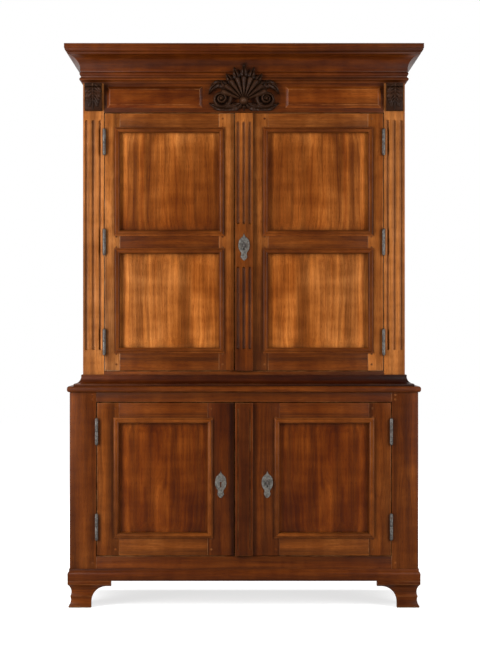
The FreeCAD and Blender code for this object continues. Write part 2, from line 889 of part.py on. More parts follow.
def build_frieze():
    node("frieze_panels", [frieze_panel(side) for side in (-1, 1)])
    width = size["upper_post_width"] - 16
    low = upper_head + 6
    consoles = [
        length_of(console_profile(), width, width, (False, False), "front", (upper_half - 8, upper_front, low)),
        length_of(console_profile(), width, width, (False, False), "front", (width + 8 - upper_half, upper_front, low)),
    ]
    node("corner_consoles", consoles)
    build_ornament()


# Doors
def door(name, x, z, front, stiles, rises, hinges, hinge_side, keyhole):
    """Frame, panels and mouldings of a door; stiles are its left and right widths, rises its rails from the foot up."""
    thick = (front, front + size["door_thickness"])
    core = middle_third(thick)
    run = (x[0] + stiles[0], x[1] - stiles[1])
    cuts = {-1: [], 1: []}
    solids = []
    for index, rise in enumerate(rises):
        grooves = [edge for edge, there in (("foot", index > 0), ("top", index < len(rises) - 1)) if there]
        solid, slots = rail("x", run, thick, rise, grooves)
        solids.append(solid)
        cuts[-1].append(slots[0])
        cuts[1].append(slots[1])
    depth = size["groove_depth"]
    reach = (rises[0][1] - depth, rises[-1][0] + depth)
    cuts[-1].append(board((run[0] - depth, run[0]), core, reach))
    cuts[1].append(board((run[1], run[1] + depth), core, reach))
    cuts[hinge_side].extend(pair["door_bed"] for pair in hinges)
    cuts[-hinge_side].extend(keyhole)
    solids.append(cut(board((x[0], run[0]), thick, z), cuts[-1]))
    solids.append(cut(board((run[1], x[1]), thick, z), cuts[1]))
    node(name + "_frame", solids)
    openings = [(under[1], over[0]) for under, over in zip(rises, rises[1:])]
    node(name + "_panels", [raised_panel("x", -1, run, thick, rise) for rise in openings])
    profile = panel_moulding_profile()
    width = size["moulding_width"]
    both = (True, True)
    sticks = []
    for low, high in openings:
        wide = run[1] - run[0]
        tall = high - low
        sticks.append(length_of(profile, wide, width, both, "door_top", (run[0], front, high)))
        sticks.append(length_of(profile, wide, width, both, "door_foot", (run[1], front, low)))
        sticks.append(length_of(profile, tall, width, both, "door_left", (run[0], front, low)))
        sticks.append(length_of(profile, tall, width, both, "door_right", (run[1], front, high)))
    node(name + "_mouldings", sticks)
    node(name + "_hinges", [pair["swinging"] for pair in hinges])


def keyhole_tools(x, z, y, clear):
    """A keyhole through the wood or a plate: a round for the shank over a slot for the bit."""
    radius = size["key_radius"]
    return [
        rod(radius + clear, y[1] - y[0], (x, y[0], z), "y"),
        board((x - 2.5, x + 2.5), y, (z - 18, z)),
    ]


def key_plate(x, face, z):
    """A shaped plate: a waisted shield with rounded head and foot, pierced by the keyhole."""
    half = size["plate_width"] / 2
    tall = size["plate_height"]
    wide = size["plate_width"]
    body = doc.addObject("PartDesign::Body", "plate")
    put(body, (x - half, face, z - tall * 0.55))
    pad = body.newObject("PartDesign::Pad", "sheet")
    pad.Profile = sketch(
        body,
        "XZ_Plane",
        [
            (half, 0),
            (wide * 0.8, tall * 0.16, tall * 0.2, 1),
            (wide * 0.78, tall * 0.3, tall * 0.16, -1),
            (wide, tall * 0.62, tall * 0.36, 1),
            (wide * 0.76, tall * 0.82, tall * 0.24, 1),
            (half, tall, tall * 0.22, -1),
            (wide * 0.24, tall * 0.82, tall * 0.22, -1),
            (0, tall * 0.62, tall * 0.24, 1),
            (wide * 0.22, tall * 0.3, tall * 0.36, 1),
            (wide * 0.2, tall * 0.16, tall * 0.16, -1),
            (half, 0, tall * 0.2, 1),
        ][1:],
    )
    pad.setExpression("Length", size["plate_thickness"].text)
    deep = (face - size["plate_thickness"] - 1, face + 1)
    return cut(body, keyhole_tools(x, z, deep, 0.5))


def lock(name, x, face, front, z):
    """Lock case, bolt and key of one pair of doors; the bolt shoots behind the left door."""
    behind = front + size["door_thickness"]
    wall = size["lock_wall"]
    clear = size["sliding_clear"]
    left = meeting_edge + 3
    right = x + 34
    deep = (behind, behind + size["lock_depth"])
    low = z - 24
    high = z + 40
    case = board((left, right), deep, (low, high))
    inside = board((left + wall, right - wall), (behind, deep[1] - wall), (low + wall, high - wall))
    bolt_y = (behind + 5, behind + 14)
    bolt_z = (z + 20, z + 34)
    slot = board((left, left + wall), (bolt_y[0] - clear, bolt_y[1] + clear), (bolt_z[0] - clear, bolt_z[1] + clear))
    node(name + "_lock_case", [cut(case, [inside, slot])])
    node(name + "_lock_bolt", [board((left, right - wall - size["lock_throw"]), bolt_y, bolt_z)])
    shank_start = face - size["key_reach"]
    shank = rod(size["key_radius"], behind + 15 - shank_start, (x, shank_start, z), "y")
    collar = rod(size["key_radius"] * 1.7, as_size(5), (x, face - size["plate_thickness"] - 6, z), "y")
    bow = doc.addObject("Part::Torus", "bow")
    bow.setExpression("Radius1", size["bow_radius"].text)
    bow.setExpression("Radius2", (size["key_radius"] * 0.8).text)
    bow.Placement = FreeCAD.Placement(FreeCAD.Vector(), FreeCAD.Rotation(FreeCAD.Vector(0, 1, 0), 90))
    put(bow, (x, shank_start - size["bow_radius"] * 0.9, z))
    bit = board((x - 1.5, x + 1.5), (behind + 4, behind + 14), (z - 16, z))
    node(name + "_key", [fuse([shank, collar, bow, bit])])


def door_bolt(name, front, top):
    """A sliding bolt with its plate and two guides on the back of a left door, drawn down in the pose shown."""
    x = meeting_edge - size["door_gap"] - 26
    behind = front + size["door_thickness"]
    plate = size["plate_thickness"]
    radius = size["bolt_radius"]
    length = size["bolt_length"]
    y = behind + plate + radius + 1
    high = top - 6
    low = high - length
    guides = [
        board((x - 11, x + 11), (behind + plate, y + radius + 3), (at, at + 14)) for at in (high - 22, low + 34)
    ]
    sheet = board((x - 14, x + 14), (behind, behind + plate), (low - 6, high))
    bore = rod(radius + size["running_clear"] * 2, length * 2, (x, y, low - length / 2))
    node(name + "_bolt_plate", [cut(fuse([sheet] + guides), [bore])])
    knob = rod(radius * 0.7, as_size(20), (x, y, low + 12), "y")
    node(name + "_bolt", [fuse([rod(radius, length, (x, y, low)), knob, ball(radius * 1.5, (x, y + 20, low + 12))])])


def pilaster(name, front, low, high, key_z, fluted):
    half = size["pilaster_width"] / 2
    face = front - size["pilaster_thickness"]
    tools = []
    if fluted:
        for reach in ((low + 90, key_z - 90), (key_z + 90, high - 40)):
            tools.extend(flutes(-half, half * 2, face, *reach))
        tools.extend(keyhole_tools(ZERO, key_z, (face - 1, front + 1), 0.5))
    else:
        for edge in (-1, 1):
            across = span(edge, half * 0.62, half * 0.72)
            tools.append(board(across, (face, face + 3), (low + 24, high - 24)))
    node(name, [cut(board((-half, half), (face, front), (low, high)), tools)])


def build_doors():
    gap = size["door_gap"]
    upper_z = (upper_sill + gap, upper_head - gap)
    lower_z = (base_sill + gap, base_head - gap)
    upper_edge = upper_opening - gap
    lower_edge = base_opening - gap
    left_meeting = meeting_edge - gap
    middle = (upper_z[0] + upper_z[1]) / 2
    lock_half = size["upper_lock_rail"] / 2
    upper_rises = [
        (upper_z[0], upper_z[0] + size["upper_foot_rail"]),
        (middle - lock_half, middle + lock_half),
        (upper_z[1] - size["upper_top_rail"], upper_z[1]),
    ]
    lower_rises = [
        (lower_z[0], lower_z[0] + size["lower_foot_rail"]),
        (lower_z[1] - size["lower_top_rail"], lower_z[1]),
    ]
    upper_key_z = middle - 14
    lower_key_z = (lower_z[0] + lower_z[1]) / 2 - 14
    upper_stile = size["upper_stile"]
    lower_stile = size["lower_stile"]
    lower_meeting = size["lower_meeting_stile"]
    wide = size["pilaster_width"]
    key_x = size["lower_key_offset"]
    through_upper = (upper_front - 1, upper_front + size["door_thickness"] + 1)
    through_lower = (base_front - 1, base_front + size["door_thickness"] + 1)
    door("upper_left_door", (-upper_edge, left_meeting), upper_z, upper_front, (upper_stile, upper_stile),
         upper_rises, upper_hinges[-1], -1, [])
    door("upper_right_door", (meeting_edge, upper_edge), upper_z, upper_front, (upper_stile + wide, upper_stile),
         upper_rises, upper_hinges[1], 1, keyhole_tools(ZERO, upper_key_z, through_upper, 0.5))
    door("lower_left_door", (-lower_edge, left_meeting), lower_z, base_front, (lower_stile, lower_meeting),
         lower_rises, lower_hinges[-1], -1, [])
    door("lower_right_door", (meeting_edge, lower_edge), lower_z, base_front, (lower_meeting + wide, lower_stile),
         lower_rises, lower_hinges[1], 1, keyhole_tools(key_x, lower_key_z, through_lower, 0.5))
    pilaster("upper_centre_pilaster", upper_front, *upper_z, upper_key_z, True)
    pilaster("lower_centre_pilaster", base_front, *lower_z, lower_key_z, False)
    upper_face = upper_front - size["pilaster_thickness"]
    node("upper_key_plate", [key_plate(ZERO, upper_face, upper_key_z)])
    node("lower_right_key_plate", [key_plate(key_x, base_front, lower_key_z)])
    node("lower_left_key_plate", [key_plate(-key_x, base_front, lower_key_z)])
    lock("upper", ZERO, upper_face, upper_front, upper_key_z)
    lock("lower", key_x, base_front, base_front, lower_key_z)
    door_bolt("upper_left", upper_front, upper_z[1])
    door_bolt("lower_left", base_front, lower_z[1])
    pairs = upper_hinges[-1] + upper_hinges[1] + lower_hinges[-1] + lower_hinges[1]
    node("carcase_hinges", [pair["fixed"] for pair in pairs])


def write_parts():
    doc.recompute()
    for item in doc.Objects:
        if "Invalid" in item.State or "Error" in item.State:
            raise RuntimeError(f"{item.Label} ({item.Name}) did not compute")
    for piece in nodes:
        if piece.Shape.isNull() or not piece.Shape.isValid() or not piece.Shape.Solids:
            raise RuntimeError(f"{piece.Label} is not a sound solid")
        piece.Shape.exportStep(f"parts/{piece.Label}.step")


build_upper(build_base())
build_doors()
write_parts()
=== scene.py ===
"""Looks of the kas cupboard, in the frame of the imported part: wood, carving, ironwork, light and camera."""
import json
import math
import random
from itertools import product

import bmesh
import bpy
import numpy as np
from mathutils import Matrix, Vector
from mathutils.bvhtree import BVHTree

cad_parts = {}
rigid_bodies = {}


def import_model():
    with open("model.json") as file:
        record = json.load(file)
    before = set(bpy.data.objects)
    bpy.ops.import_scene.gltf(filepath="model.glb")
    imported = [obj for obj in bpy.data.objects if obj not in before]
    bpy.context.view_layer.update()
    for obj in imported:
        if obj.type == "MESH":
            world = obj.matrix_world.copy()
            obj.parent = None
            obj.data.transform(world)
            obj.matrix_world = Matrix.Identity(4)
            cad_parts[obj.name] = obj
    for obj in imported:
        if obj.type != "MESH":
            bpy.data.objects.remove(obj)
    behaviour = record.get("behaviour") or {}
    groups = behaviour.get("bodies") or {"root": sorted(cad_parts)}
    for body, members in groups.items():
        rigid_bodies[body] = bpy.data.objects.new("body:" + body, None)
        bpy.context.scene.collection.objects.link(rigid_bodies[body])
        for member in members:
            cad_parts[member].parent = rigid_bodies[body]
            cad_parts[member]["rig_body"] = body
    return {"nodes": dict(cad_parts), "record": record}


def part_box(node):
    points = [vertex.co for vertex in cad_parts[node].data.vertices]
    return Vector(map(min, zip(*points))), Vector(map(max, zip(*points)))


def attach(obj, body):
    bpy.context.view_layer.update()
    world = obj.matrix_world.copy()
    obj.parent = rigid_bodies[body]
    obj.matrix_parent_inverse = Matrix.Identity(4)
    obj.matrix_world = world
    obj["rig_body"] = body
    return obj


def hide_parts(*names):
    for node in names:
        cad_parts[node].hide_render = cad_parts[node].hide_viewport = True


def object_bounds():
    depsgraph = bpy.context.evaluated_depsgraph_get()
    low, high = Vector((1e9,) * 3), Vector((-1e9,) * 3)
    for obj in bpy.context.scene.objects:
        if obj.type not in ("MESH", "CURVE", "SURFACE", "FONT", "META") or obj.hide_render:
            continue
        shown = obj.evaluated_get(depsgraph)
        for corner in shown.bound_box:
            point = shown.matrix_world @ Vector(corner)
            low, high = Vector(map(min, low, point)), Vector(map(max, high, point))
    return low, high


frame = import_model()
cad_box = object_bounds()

# Units, axes and nodes
MM = 0.001
X, Y, Z = 0, 1, 2
UPRIGHT_BOARDS = ("door_panels", "side_panels", "back_boards")
METALS = ("iron", "plate_metal")
SLOT_OF = {row["node"]: row["material_slot"] for row in frame["record"]["subparts"]}
RAY_START = 1.0

# Clean meshes and eased arrises
GRID = 1e-5
LEAST_EDGE = 1e-6
FLAT_ANGLE = math.radians(0.4)
WOOD_ARRIS = 1.3 * MM
IRON_ARRIS = 0.4 * MM
SHARP_ANGLE = math.radians(32)
SMOOTH_ANGLE = math.radians(40)

# Noise along and across the grain of a board: rates per metre, detail, roughness and the range shown
GRAIN_FEATURES = {
    "Streaks": ((0.9, 24.0, 24.0), 3.0, 0.6, 0.36, 0.68),
    "Figure": ((4.5, 8.0, 8.0), 2.0, 0.5, 0.34, 0.66),
    "Ripple": ((26.0, 9.0, 9.0), 1.0, 0.4, 0.3, 0.7),
    "Fibres": ((7.0, 430.0, 430.0), 3.0, 0.6, 0.3, 0.7),
    "Pores": ((55.0, 1500.0, 1500.0), 0.0, 0.5, 0.62, 0.7),
}
DRIFT = ((1.6, 7.0, 7.0), 3.0, 0.55)
BANDS = {"Scale": 1.0, "Detail": 3.0, "Roughness": 0.62}
BANDS_SHOWN = (0.28, 0.72)

# Powers by which the shade of a board darkens its red, green and blue
SHADE_POWERS = (1.0, 1.35, 2.0)

# Where a board lay in its log: metres along, a share of its width, metres behind; and the range of its tone
PITH_ALONG = 40
PITH_ACROSS = 0.3
PITH_BEHIND = (0.02, 0.1)
BOARD_TONES = (0.93, 1.07)

# Least width and depth of a chunky solid, as shares of its length, and from which facing a face is its end
CHUNKY_WIDTH = 0.8
CHUNKY_DEPTH = 0.4
END_FACING = 0.7

# Parts of a node: from where a solid is at one side, and how far up the bottom and the middle reach
SIDE_SHARE = 0.2
BOTTOM_SHARE = 0.35
MIDDLE_SHARE = 0.65

# Noise over a surface in x, y and z: rates per metre, detail, roughness and the range shown
PATCHES = ((22.0, 22.0, 22.0), 4.0, 0.65, 0.38, 0.66)
MOTTLES = ((160.0, 160.0, 160.0), 5.0, 0.6, 0.35, 0.65)
STAINS = ((45.0, 45.0, 45.0), 3.0, 0.6, 0.5, 0.7)
SCRATCHES = ((900.0, 900.0, 90.0), 2.0, 0.5, 0.3, 0.7)

# Finish of the wood and the metal
BUMP_DEPTH = 0.3 * MM
WOOD_BUMP = 0.25
METAL_BUMP = 0.2
WOOD_SHEEN = 0.05
WAX_COAT = 0.025
STREAK_COVER = 0.7
FIBRE_HEIGHT = 0.25
ROUGHER_FIBRES = 0.12
ROUGHER_IN_HOLLOWS = 0.3
ROUGHER_SCRATCHES = 0.15
ROUGHER_STAINS = 0.25
COAT_ROUGHNESS = 0.18
RUBBED_TINT = 0.8
RUBBED_SHINE = 1.7
RUST_COVER = 0.6
STAIN_METALLIC = (0.9, 0.4)

# Dirt and painted shade in the hollows: darker where a point is closed in
DIRT_AND_SHADE_COLOUR = (0.012, 0.006, 0.003, 1.0)
DIRT_AND_SHADE_SPREAD = 0.8
DIRT_AND_SHADE_LEFT = 0.7
OPENNESS_SAMPLES = 6
METAL_DIRT_AND_SHADE = 0.6
METAL_DIRT_AND_SHADE_REACH = 6 * MM
WOOD_DIRT_AND_SHADE_REACH = 20 * MM

# The photograph's camera: height and side step in pixels, metres per pixel, and its place in metres
PHOTO_HEIGHT = 650
PHOTO_SCALE = 3.887 * MM
PHOTO_SIDE_STEP = 4.0
CAMERA_DISTANCE = 6.6
CAMERA_HEIGHT = 1.104
SENSOR = 36.0

# Floor and background; the lift of the floor grows to white over the reach of the shadow
WHITE = (1.0, 1.0, 1.0, 1.0)
FLOOR_HALF = 12.0
FLOOR_COLOUR = (0.5, 0.5, 0.5, 1.0)
FLOOR_LIFT = 0.72
SHADOW_REACH = (0.9, 2.4)
ROOM_COLOUR = (1.0, 0.98, 0.95, 1.0)
ROOM_LIGHT = 0.07

# Softboxes: name, place, what it aims at, size and power
SIDE_AIM = (0, 0, CAMERA_HEIGHT)
SIDE_SIZE = (0.9, 2.4)
SOFTBOXES = (
    ("left_softbox", (-2.3, -1.9, 1.5), SIDE_AIM, SIDE_SIZE, 142),
    ("right_softbox", (2.3, -1.9, 1.5), SIDE_AIM, SIDE_SIZE, 94),
    ("back_softbox", (0, 2.9, 3.7), (0, 0.2, 1.3), (2.6, 1.2), 170),
)

# Carving; the sizes of a relief and of its forms are in millimetres
LEAST_RELIEF = 0.8 * MM
SEAT_GAP = 0.1 * MM
CARVED_BLOCK_PITH = 0.06
CARVED_WEAR = 0.55
ORNAMENT_STEP = 1.0
CONSOLE_STEP = 0.8
CONSOLE_COVER = 0.94
CONSOLE_RISE = 5.0
CONSOLE_LEAFLETS = 6
CONSOLE_SINK = 0.4 * MM
CONSOLE_TONE = 1.3

# Forms of a carved leaf and of the scallop, as shares of their widths and heights
LOBE_DEPTH = 0.24
VEIN_DEPTH = 0.22
LEAF_CAMBER = 0.35
LEAF_EDGE = 0.2
MIDRIB_DEPTH = 0.35
MIDRIB_WIDTH = 0.14
SCALLOP_DEPTH = 0.08
SCALLOP_EDGE = 0.1

# Crest of the ornament: its leaves turn about the scallop's hub, in degrees, and get shorter sideways
HUB_SHARE = 0.28
CREST_HEIGHT = 46.0
CREST_MARGIN = 4.0
CREST_TURNS = (0, 17, 34, 50)
SHORTER_PER_DEGREE = 0.004

# Heads of the pegs, nails and pins
PEG = {"Radius": 4.5 * MM, "Rise": 0.5 * MM, "Sides": 9}
NAIL = {"Radius": 4 * MM, "Rise": 0.6 * MM, "Sides": 5}
PIN = {"Radius": 1.7 * MM, "Rise": 0.7 * MM, "Sides": 10}
HEAD_TAPER = 0.68
HEAD_SEED = 7
HEAD_WEAR = 0.3

# Where pegs, nails and pins sit; shares are of the width and height of what they hold
LEAST_TENON = 4 * MM
PEG_SHARES = (0.27, 0.73)
PEG_TONE = 0.5
NAIL_INSET = 22 * MM
NAIL_SHARES = (0.2, 0.8)
KEY_PLATE_SHARES = ((0.5, 0.1), (0.5, 0.84), (0.17, 0.62), (0.83, 0.62))
CORNER_SHARES = ((0.1, 0.1), (0.9, 0.1), (0.1, 0.9), (0.9, 0.9))

# What is pinned: its node, its body, front -1 or back 1, places of the pins and their material slot
PINNED = (
    ("upper_key_plate", "upper_right_door", -1, KEY_PLATE_SHARES, "plate_metal"),
    ("lower_right_key_plate", "lower_right_door", -1, KEY_PLATE_SHARES, "plate_metal"),
    ("lower_left_key_plate", "lower_left_door", -1, KEY_PLATE_SHARES, "plate_metal"),
    ("upper_lock_case", "upper_right_door", 1, CORNER_SHARES, "iron"),
    ("lower_lock_case", "lower_right_door", 1, CORNER_SHARES, "iron"),
    ("upper_left_bolt_plate", "upper_left_door", 1, CORNER_SHARES, "iron"),
    ("lower_left_bolt_plate", "lower_left_door", 1, CORNER_SHARES, "iron"),
)


# Node trees
class Tree:
    """Builds a node tree; add() makes a node, and links those of its inputs that are given as sockets."""

    def __init__(self, tree):
        self.tree = tree
        self.tree.nodes.clear()

    def set(self, node, key, value):
        if isinstance(value, bpy.types.NodeSocket):
            self.tree.links.new(value, node.inputs[key])
        else:
            node.inputs[key].default_value = value

    def add(self, kind, inputs=None, **settings):
        node = self.tree.nodes.new(kind)
        for name, value in settings.items():
            setattr(node, name, value)
        for key, value in (inputs or {}).items():
            self.set(node, key, value)
        return node

    def math(self, operation, first, second=0.0):
        return self.add("ShaderNodeMath", {0: first, 1: second}, operation=operation).outputs[0]

    def scaled(self, vector, factors):
        return self.add("ShaderNodeVectorMath", {0: vector, 1: factors}, operation="MULTIPLY").outputs[0]

    def noise(self, vector, detail, roughness):
        values = {"Vector": vector, "Scale": 1.0, "Detail": detail, "Roughness": roughness}
        return self.add("ShaderNodeTexNoise", values).outputs["Fac"]

    def between(self, value, low, high, to_low=0.0, to_high=1.0):
        values = {"Value": value, "From Min": low, "From Max": high, "To Min": to_low, "To Max": to_high}
        return self.add("ShaderNodeMapRange", values).outputs["Result"]

    def patches(self, vector, rates, detail, roughness, low, high):
        return self.between(self.noise(self.scaled(vector, rates), detail, roughness), low, high)

    def mix(self, factor, first, second, blend="MIX"):
        values = {0: factor, 6: first, 7: second}
        return self.add("ShaderNodeMix", values, data_type="RGBA", blend_type=blend).outputs[2]

    def attribute(self, name, output="Fac"):
        return self.add("ShaderNodeAttribute", attribute_name=name).outputs[output]


def new_group(name, inputs, outputs, kind_of_tree="ShaderNodeTree"):
    """An empty node group, its tree and its inputs; sockets have names and types, inputs also defaults."""
    group = bpy.data.node_groups.new(name, kind_of_tree)
    for label, kind, default in inputs:
        socket = group.interface.new_socket(label, in_out="INPUT", socket_type=kind)
        if default is not None:
            socket.default_value = default
    for label, kind in outputs:
        group.interface.new_socket(label, in_out="OUTPUT", socket_type=kind)
    tree = Tree(group)
    return group, tree, tree.add("NodeGroupInput").outputs


def make_grain_group():
    """Growth bands and the other features of a board, from a point's place along and across its grain."""
    inputs = [
        ("Grain", "NodeSocketVector", None),
        ("Band width", "NodeSocketFloat", 0.012),
        ("Wander", "NodeSocketFloat", 0.02),
    ]
    outputs = [(label, "NodeSocketFloat") for label in ("Bands", *GRAIN_FEATURES)]
    group, tree, given = new_group("board_grain", inputs, outputs)
    grain = given["Grain"]
    rates, detail, roughness = DRIFT
    drift = tree.noise(tree.scaled(grain, rates), detail, roughness)
    drift = tree.math("MULTIPLY", tree.math("SUBTRACT", drift, 0.5), given["Wander"])
    across = tree.scaled(grain, (0.0, 1.0, 1.0))
    radius = tree.add("ShaderNodeVectorMath", {0: across}, operation="LENGTH").outputs["Value"]
    radius = tree.math("ADD", radius, drift)
    rings = tree.math("DIVIDE", radius, given["Band width"])
    bands = tree.add("ShaderNodeTexNoise", {"W": rings, **BANDS}, noise_dimensions="1D").outputs["Fac"]
    results = {"Bands": tree.between(bands, *BANDS_SHOWN)}
    for label, feature in GRAIN_FEATURES.items():
        results[label] = tree.patches(grain, *feature)
    tree.add("NodeGroupOutput", results)
    return group


def make_age_and_shade_group():
    """Colour of an old surface: pale rubbed arrises, and wax and dirt kept in the quirks, with painted shade
    where a point is closed in.
    """
    inputs = [
        ("Colour", "NodeSocketColor", None),
        ("Rubbed colour", "NodeSocketColor", None),
        ("Wear", "NodeSocketFloat", 0.0),
        ("Dirt and shade", "NodeSocketFloat", 0.6),
        ("Reach", "NodeSocketFloat", WOOD_DIRT_AND_SHADE_REACH),
    ]
    outputs = [("Colour", "NodeSocketColor"), ("Shade and dirt amount", "NodeSocketFloat")]
    group, tree, given = new_group("old_surface_and_shade", inputs, outputs)
    place = tree.add("ShaderNodeTexCoord").outputs["Object"]
    patchy = tree.patches(place, *PATCHES)
    rubbed = tree.math("MULTIPLY", given["Wear"], patchy)
    # Painted shade: the colour darkens towards the dark colour where ambient occlusion finds the surface
    # closed in, on top of real dirt and wax.
    values = {"Distance": given["Reach"]}
    openness = tree.add("ShaderNodeAmbientOcclusion", values, samples=OPENNESS_SAMPLES).outputs["AO"]
    closed = tree.math("POWER", tree.math("SUBTRACT", 1.0, openness), DIRT_AND_SHADE_SPREAD)
    dirt_and_shade = tree.math("MULTIPLY", closed, given["Dirt and shade"])
    dirt_and_shade = tree.math("MULTIPLY", dirt_and_shade, tree.between(patchy, 0.0, 1.0, DIRT_AND_SHADE_LEFT, 1.0))
    aged_and_shaded = tree.mix(rubbed, given["Colour"], given["Rubbed colour"])
    aged_and_shaded = tree.mix(dirt_and_shade, aged_and_shaded, DIRT_AND_SHADE_COLOUR)
    tree.add("NodeGroupOutput", {"Colour": aged_and_shaded, "Shade and dirt amount": dirt_and_shade})
    return group


GRAIN = make_grain_group()
AGE_AND_SHADE = make_age_and_shade_group()


# Materials
def new_material(name):
    material = bpy.data.materials.new(name)
    material.use_nodes = True
    return material, Tree(material.node_tree)


def board_tint(tree, look, figure):
    """How much red, green and blue a board shows, by its grain and its lightness, painted light and shade
    included;
    a dark one shows least blue.
    """
    shade = tree.attribute("tone_and_light")
    levels = {
        "Figure": (1.0 - figure, 1.0 + figure),
        "Ripple": (0.86, 1.12),
        "Fibres": (0.84, 1.14),
        "Pores": (1.0, 0.6),
    }
    for feature, (at_low, at_high) in levels.items():
        shade = tree.math("MULTIPLY", shade, tree.between(look[feature], 0.0, 1.0, at_low, at_high))
    channels = {index: tree.math("POWER", shade, power) for index, power in enumerate(SHADE_POWERS)}
    return tree.add("ShaderNodeCombineColor", channels).outputs[0]


def make_wood(name, colours, band_width, wander=0.05, gloss=0.3, dirt_and_shade=0.5, figure=0.15):
    """Wood from its deep, middle, light and rubbed colours."""
    deep, middle, light, rubbed = [(*colour, 1.0) for colour in colours]
    material, tree = new_material(name)
    values = {"Grain": tree.attribute("grain", "Vector"), "Band width": band_width, "Wander": wander}
    look = tree.add("ShaderNodeGroup", values, node_tree=GRAIN).outputs
    tint = board_tint(tree, look, figure)
    colour = tree.mix(look["Bands"], middle, light)
    colour = tree.mix(tree.math("MULTIPLY", look["Streaks"], STREAK_COVER), colour, deep)
    colour = tree.mix(1.0, colour, tint, "MULTIPLY")
    pale = tree.mix(RUBBED_TINT, rubbed, tint, "MULTIPLY")
    values = {"Colour": colour, "Rubbed colour": pale, "Wear": tree.attribute("wear"), "Dirt and shade": dirt_and_shade}
    age_and_shade = tree.add("ShaderNodeGroup", values, node_tree=AGE_AND_SHADE).outputs
    height = tree.math("SUBTRACT", tree.math("MULTIPLY", look["Fibres"], FIBRE_HEIGHT), look["Pores"])
    bump = tree.add("ShaderNodeBump", {"Strength": WOOD_BUMP, "Distance": BUMP_DEPTH, "Height": height})
    rough = tree.between(look["Fibres"], 0.0, 1.0, gloss, gloss + ROUGHER_FIBRES)
    rough = tree.math("ADD", rough, tree.math("MULTIPLY", age_and_shade["Shade and dirt amount"], ROUGHER_IN_HOLLOWS))
    values = {
        "Base Color": age_and_shade["Colour"],
        "Roughness": rough,
        "Specular IOR Level": WOOD_SHEEN,
        "Coat Weight": WAX_COAT,
        "Coat Roughness": COAT_ROUGHNESS,
        "Normal": bump.outputs["Normal"],
    }
    shader = tree.add("ShaderNodeBsdfPrincipled", values)
    tree.add("ShaderNodeOutputMaterial", {"Surface": shader.outputs["BSDF"]})
    return material


def make_metal(name, dark, bright, rust, gloss):
    """Old metal: mottled between two greys, stained with rust, brighter where it is rubbed."""
    material, tree = new_material(name)
    place = tree.add("ShaderNodeTexCoord").outputs["Object"]
    mottle = tree.patches(place, *MOTTLES)
    stain = tree.patches(place, *STAINS)
    scratch = tree.patches(place, *SCRATCHES)
    colour = tree.mix(mottle, (*dark, 1.0), (*bright, 1.0))
    colour = tree.mix(tree.math("MULTIPLY", stain, RUST_COVER), colour, (*rust, 1.0))
    rubbed = [RUBBED_SHINE * part for part in bright]
    values = {
        "Colour": colour,
        "Rubbed colour": (*rubbed, 1.0),
        "Wear": tree.attribute("wear"),
        "Dirt and shade": METAL_DIRT_AND_SHADE,
        "Reach": METAL_DIRT_AND_SHADE_REACH,
    }
    age_and_shade = tree.add("ShaderNodeGroup", values, node_tree=AGE_AND_SHADE).outputs
    bump = tree.add("ShaderNodeBump", {"Strength": METAL_BUMP, "Distance": BUMP_DEPTH, "Height": mottle})
    rough = tree.between(scratch, 0.0, 1.0, gloss, gloss + ROUGHER_SCRATCHES)
    rough = tree.math("ADD", rough, tree.math("MULTIPLY", stain, ROUGHER_STAINS))
    values = {
        "Base Color": age_and_shade["Colour"],
        "Metallic": tree.between(stain, 0.0, 1.0, *STAIN_METALLIC),
        "Roughness": rough,
        "Normal": bump.outputs["Normal"],
    }
    shader = tree.add("ShaderNodeBsdfPrincipled", values)
    tree.add("ShaderNodeOutputMaterial", {"Surface": shader.outputs["BSDF"]})
    return material


MATERIALS = {
    "case_wood": make_wood(
        "waxed_case_wood",
        [(0.022, 0.006, 0.0015), (0.125, 0.032, 0.0045), (0.235, 0.068, 0.011), (0.42, 0.20, 0.08)],
        band_width=0.011,
    ),
    "panel_wood": make_wood(
        "figured_panel_wood",
        [(0.045, 0.011, 0.002), (0.230, 0.060, 0.009), (0.420, 0.135, 0.024), (0.45, 0.22, 0.09)],
        band_width=0.016,
        wander=0.11,
        gloss=0.28,
        figure=0.3,
    ),
    "dark_wood": make_wood(
        "dark_carved_wood",
        [(0.005, 0.002, 0.0008), (0.016, 0.0055, 0.002), (0.031, 0.0105, 0.004), (0.09, 0.04, 0.018)],
        band_width=0.009,
        gloss=0.36,
        dirt_and_shade=0.75,
    ),
    "inner_wood": make_wood(
        "bare_inner_wood",
        [(0.14, 0.068, 0.028), (0.30, 0.162, 0.070), (0.40, 0.240, 0.116), (0.46, 0.29, 0.16)],
        band_width=0.010,
        gloss=0.6,
        dirt_and_shade=0.6,
    ),
    "iron": make_metal(
        "forged_iron",
        dark=(0.03, 0.027, 0.025),
        bright=(0.09, 0.083, 0.076),
        rust=(0.045, 0.018, 0.008),
        gloss=0.42,
    ),
    "plate_metal": make_metal(
        "old_plate_metal",
        dark=(0.05, 0.046, 0.041),
        bright=(0.14, 0.13, 0.115),
        rust=(0.045, 0.026, 0.014),
        gloss=0.36,
    ),
}


# Pieces made from the nodes of the part
def solids_of(node):
    """A node's closed solids, as triangles of whole-number corners; each ends where no edge is open."""
    mesh = node.data
    mesh.calc_loop_triangles()
    places = np.empty(len(mesh.vertices) * 3)
    mesh.vertices.foreach_get("co", places)
    corners = [tuple(row) for row in np.round(places.reshape(-1, 3) / GRID).astype(int)]
    solids = []
    triangles = []
    open_edges = set()
    for triangle in mesh.loop_triangles:
        points = [corners[index] for index in triangle.vertices]
        triangles.append(points)
        for start, end in zip(points, points[1:] + points[:1]):
            if (end, start) in open_edges:
                open_edges.remove((end, start))
            elif start != end:
                open_edges.add((start, end))
        if not open_edges:
            solids.append(triangles)
            triangles = []
    if triangles:
        solids.append(triangles)
    return solids


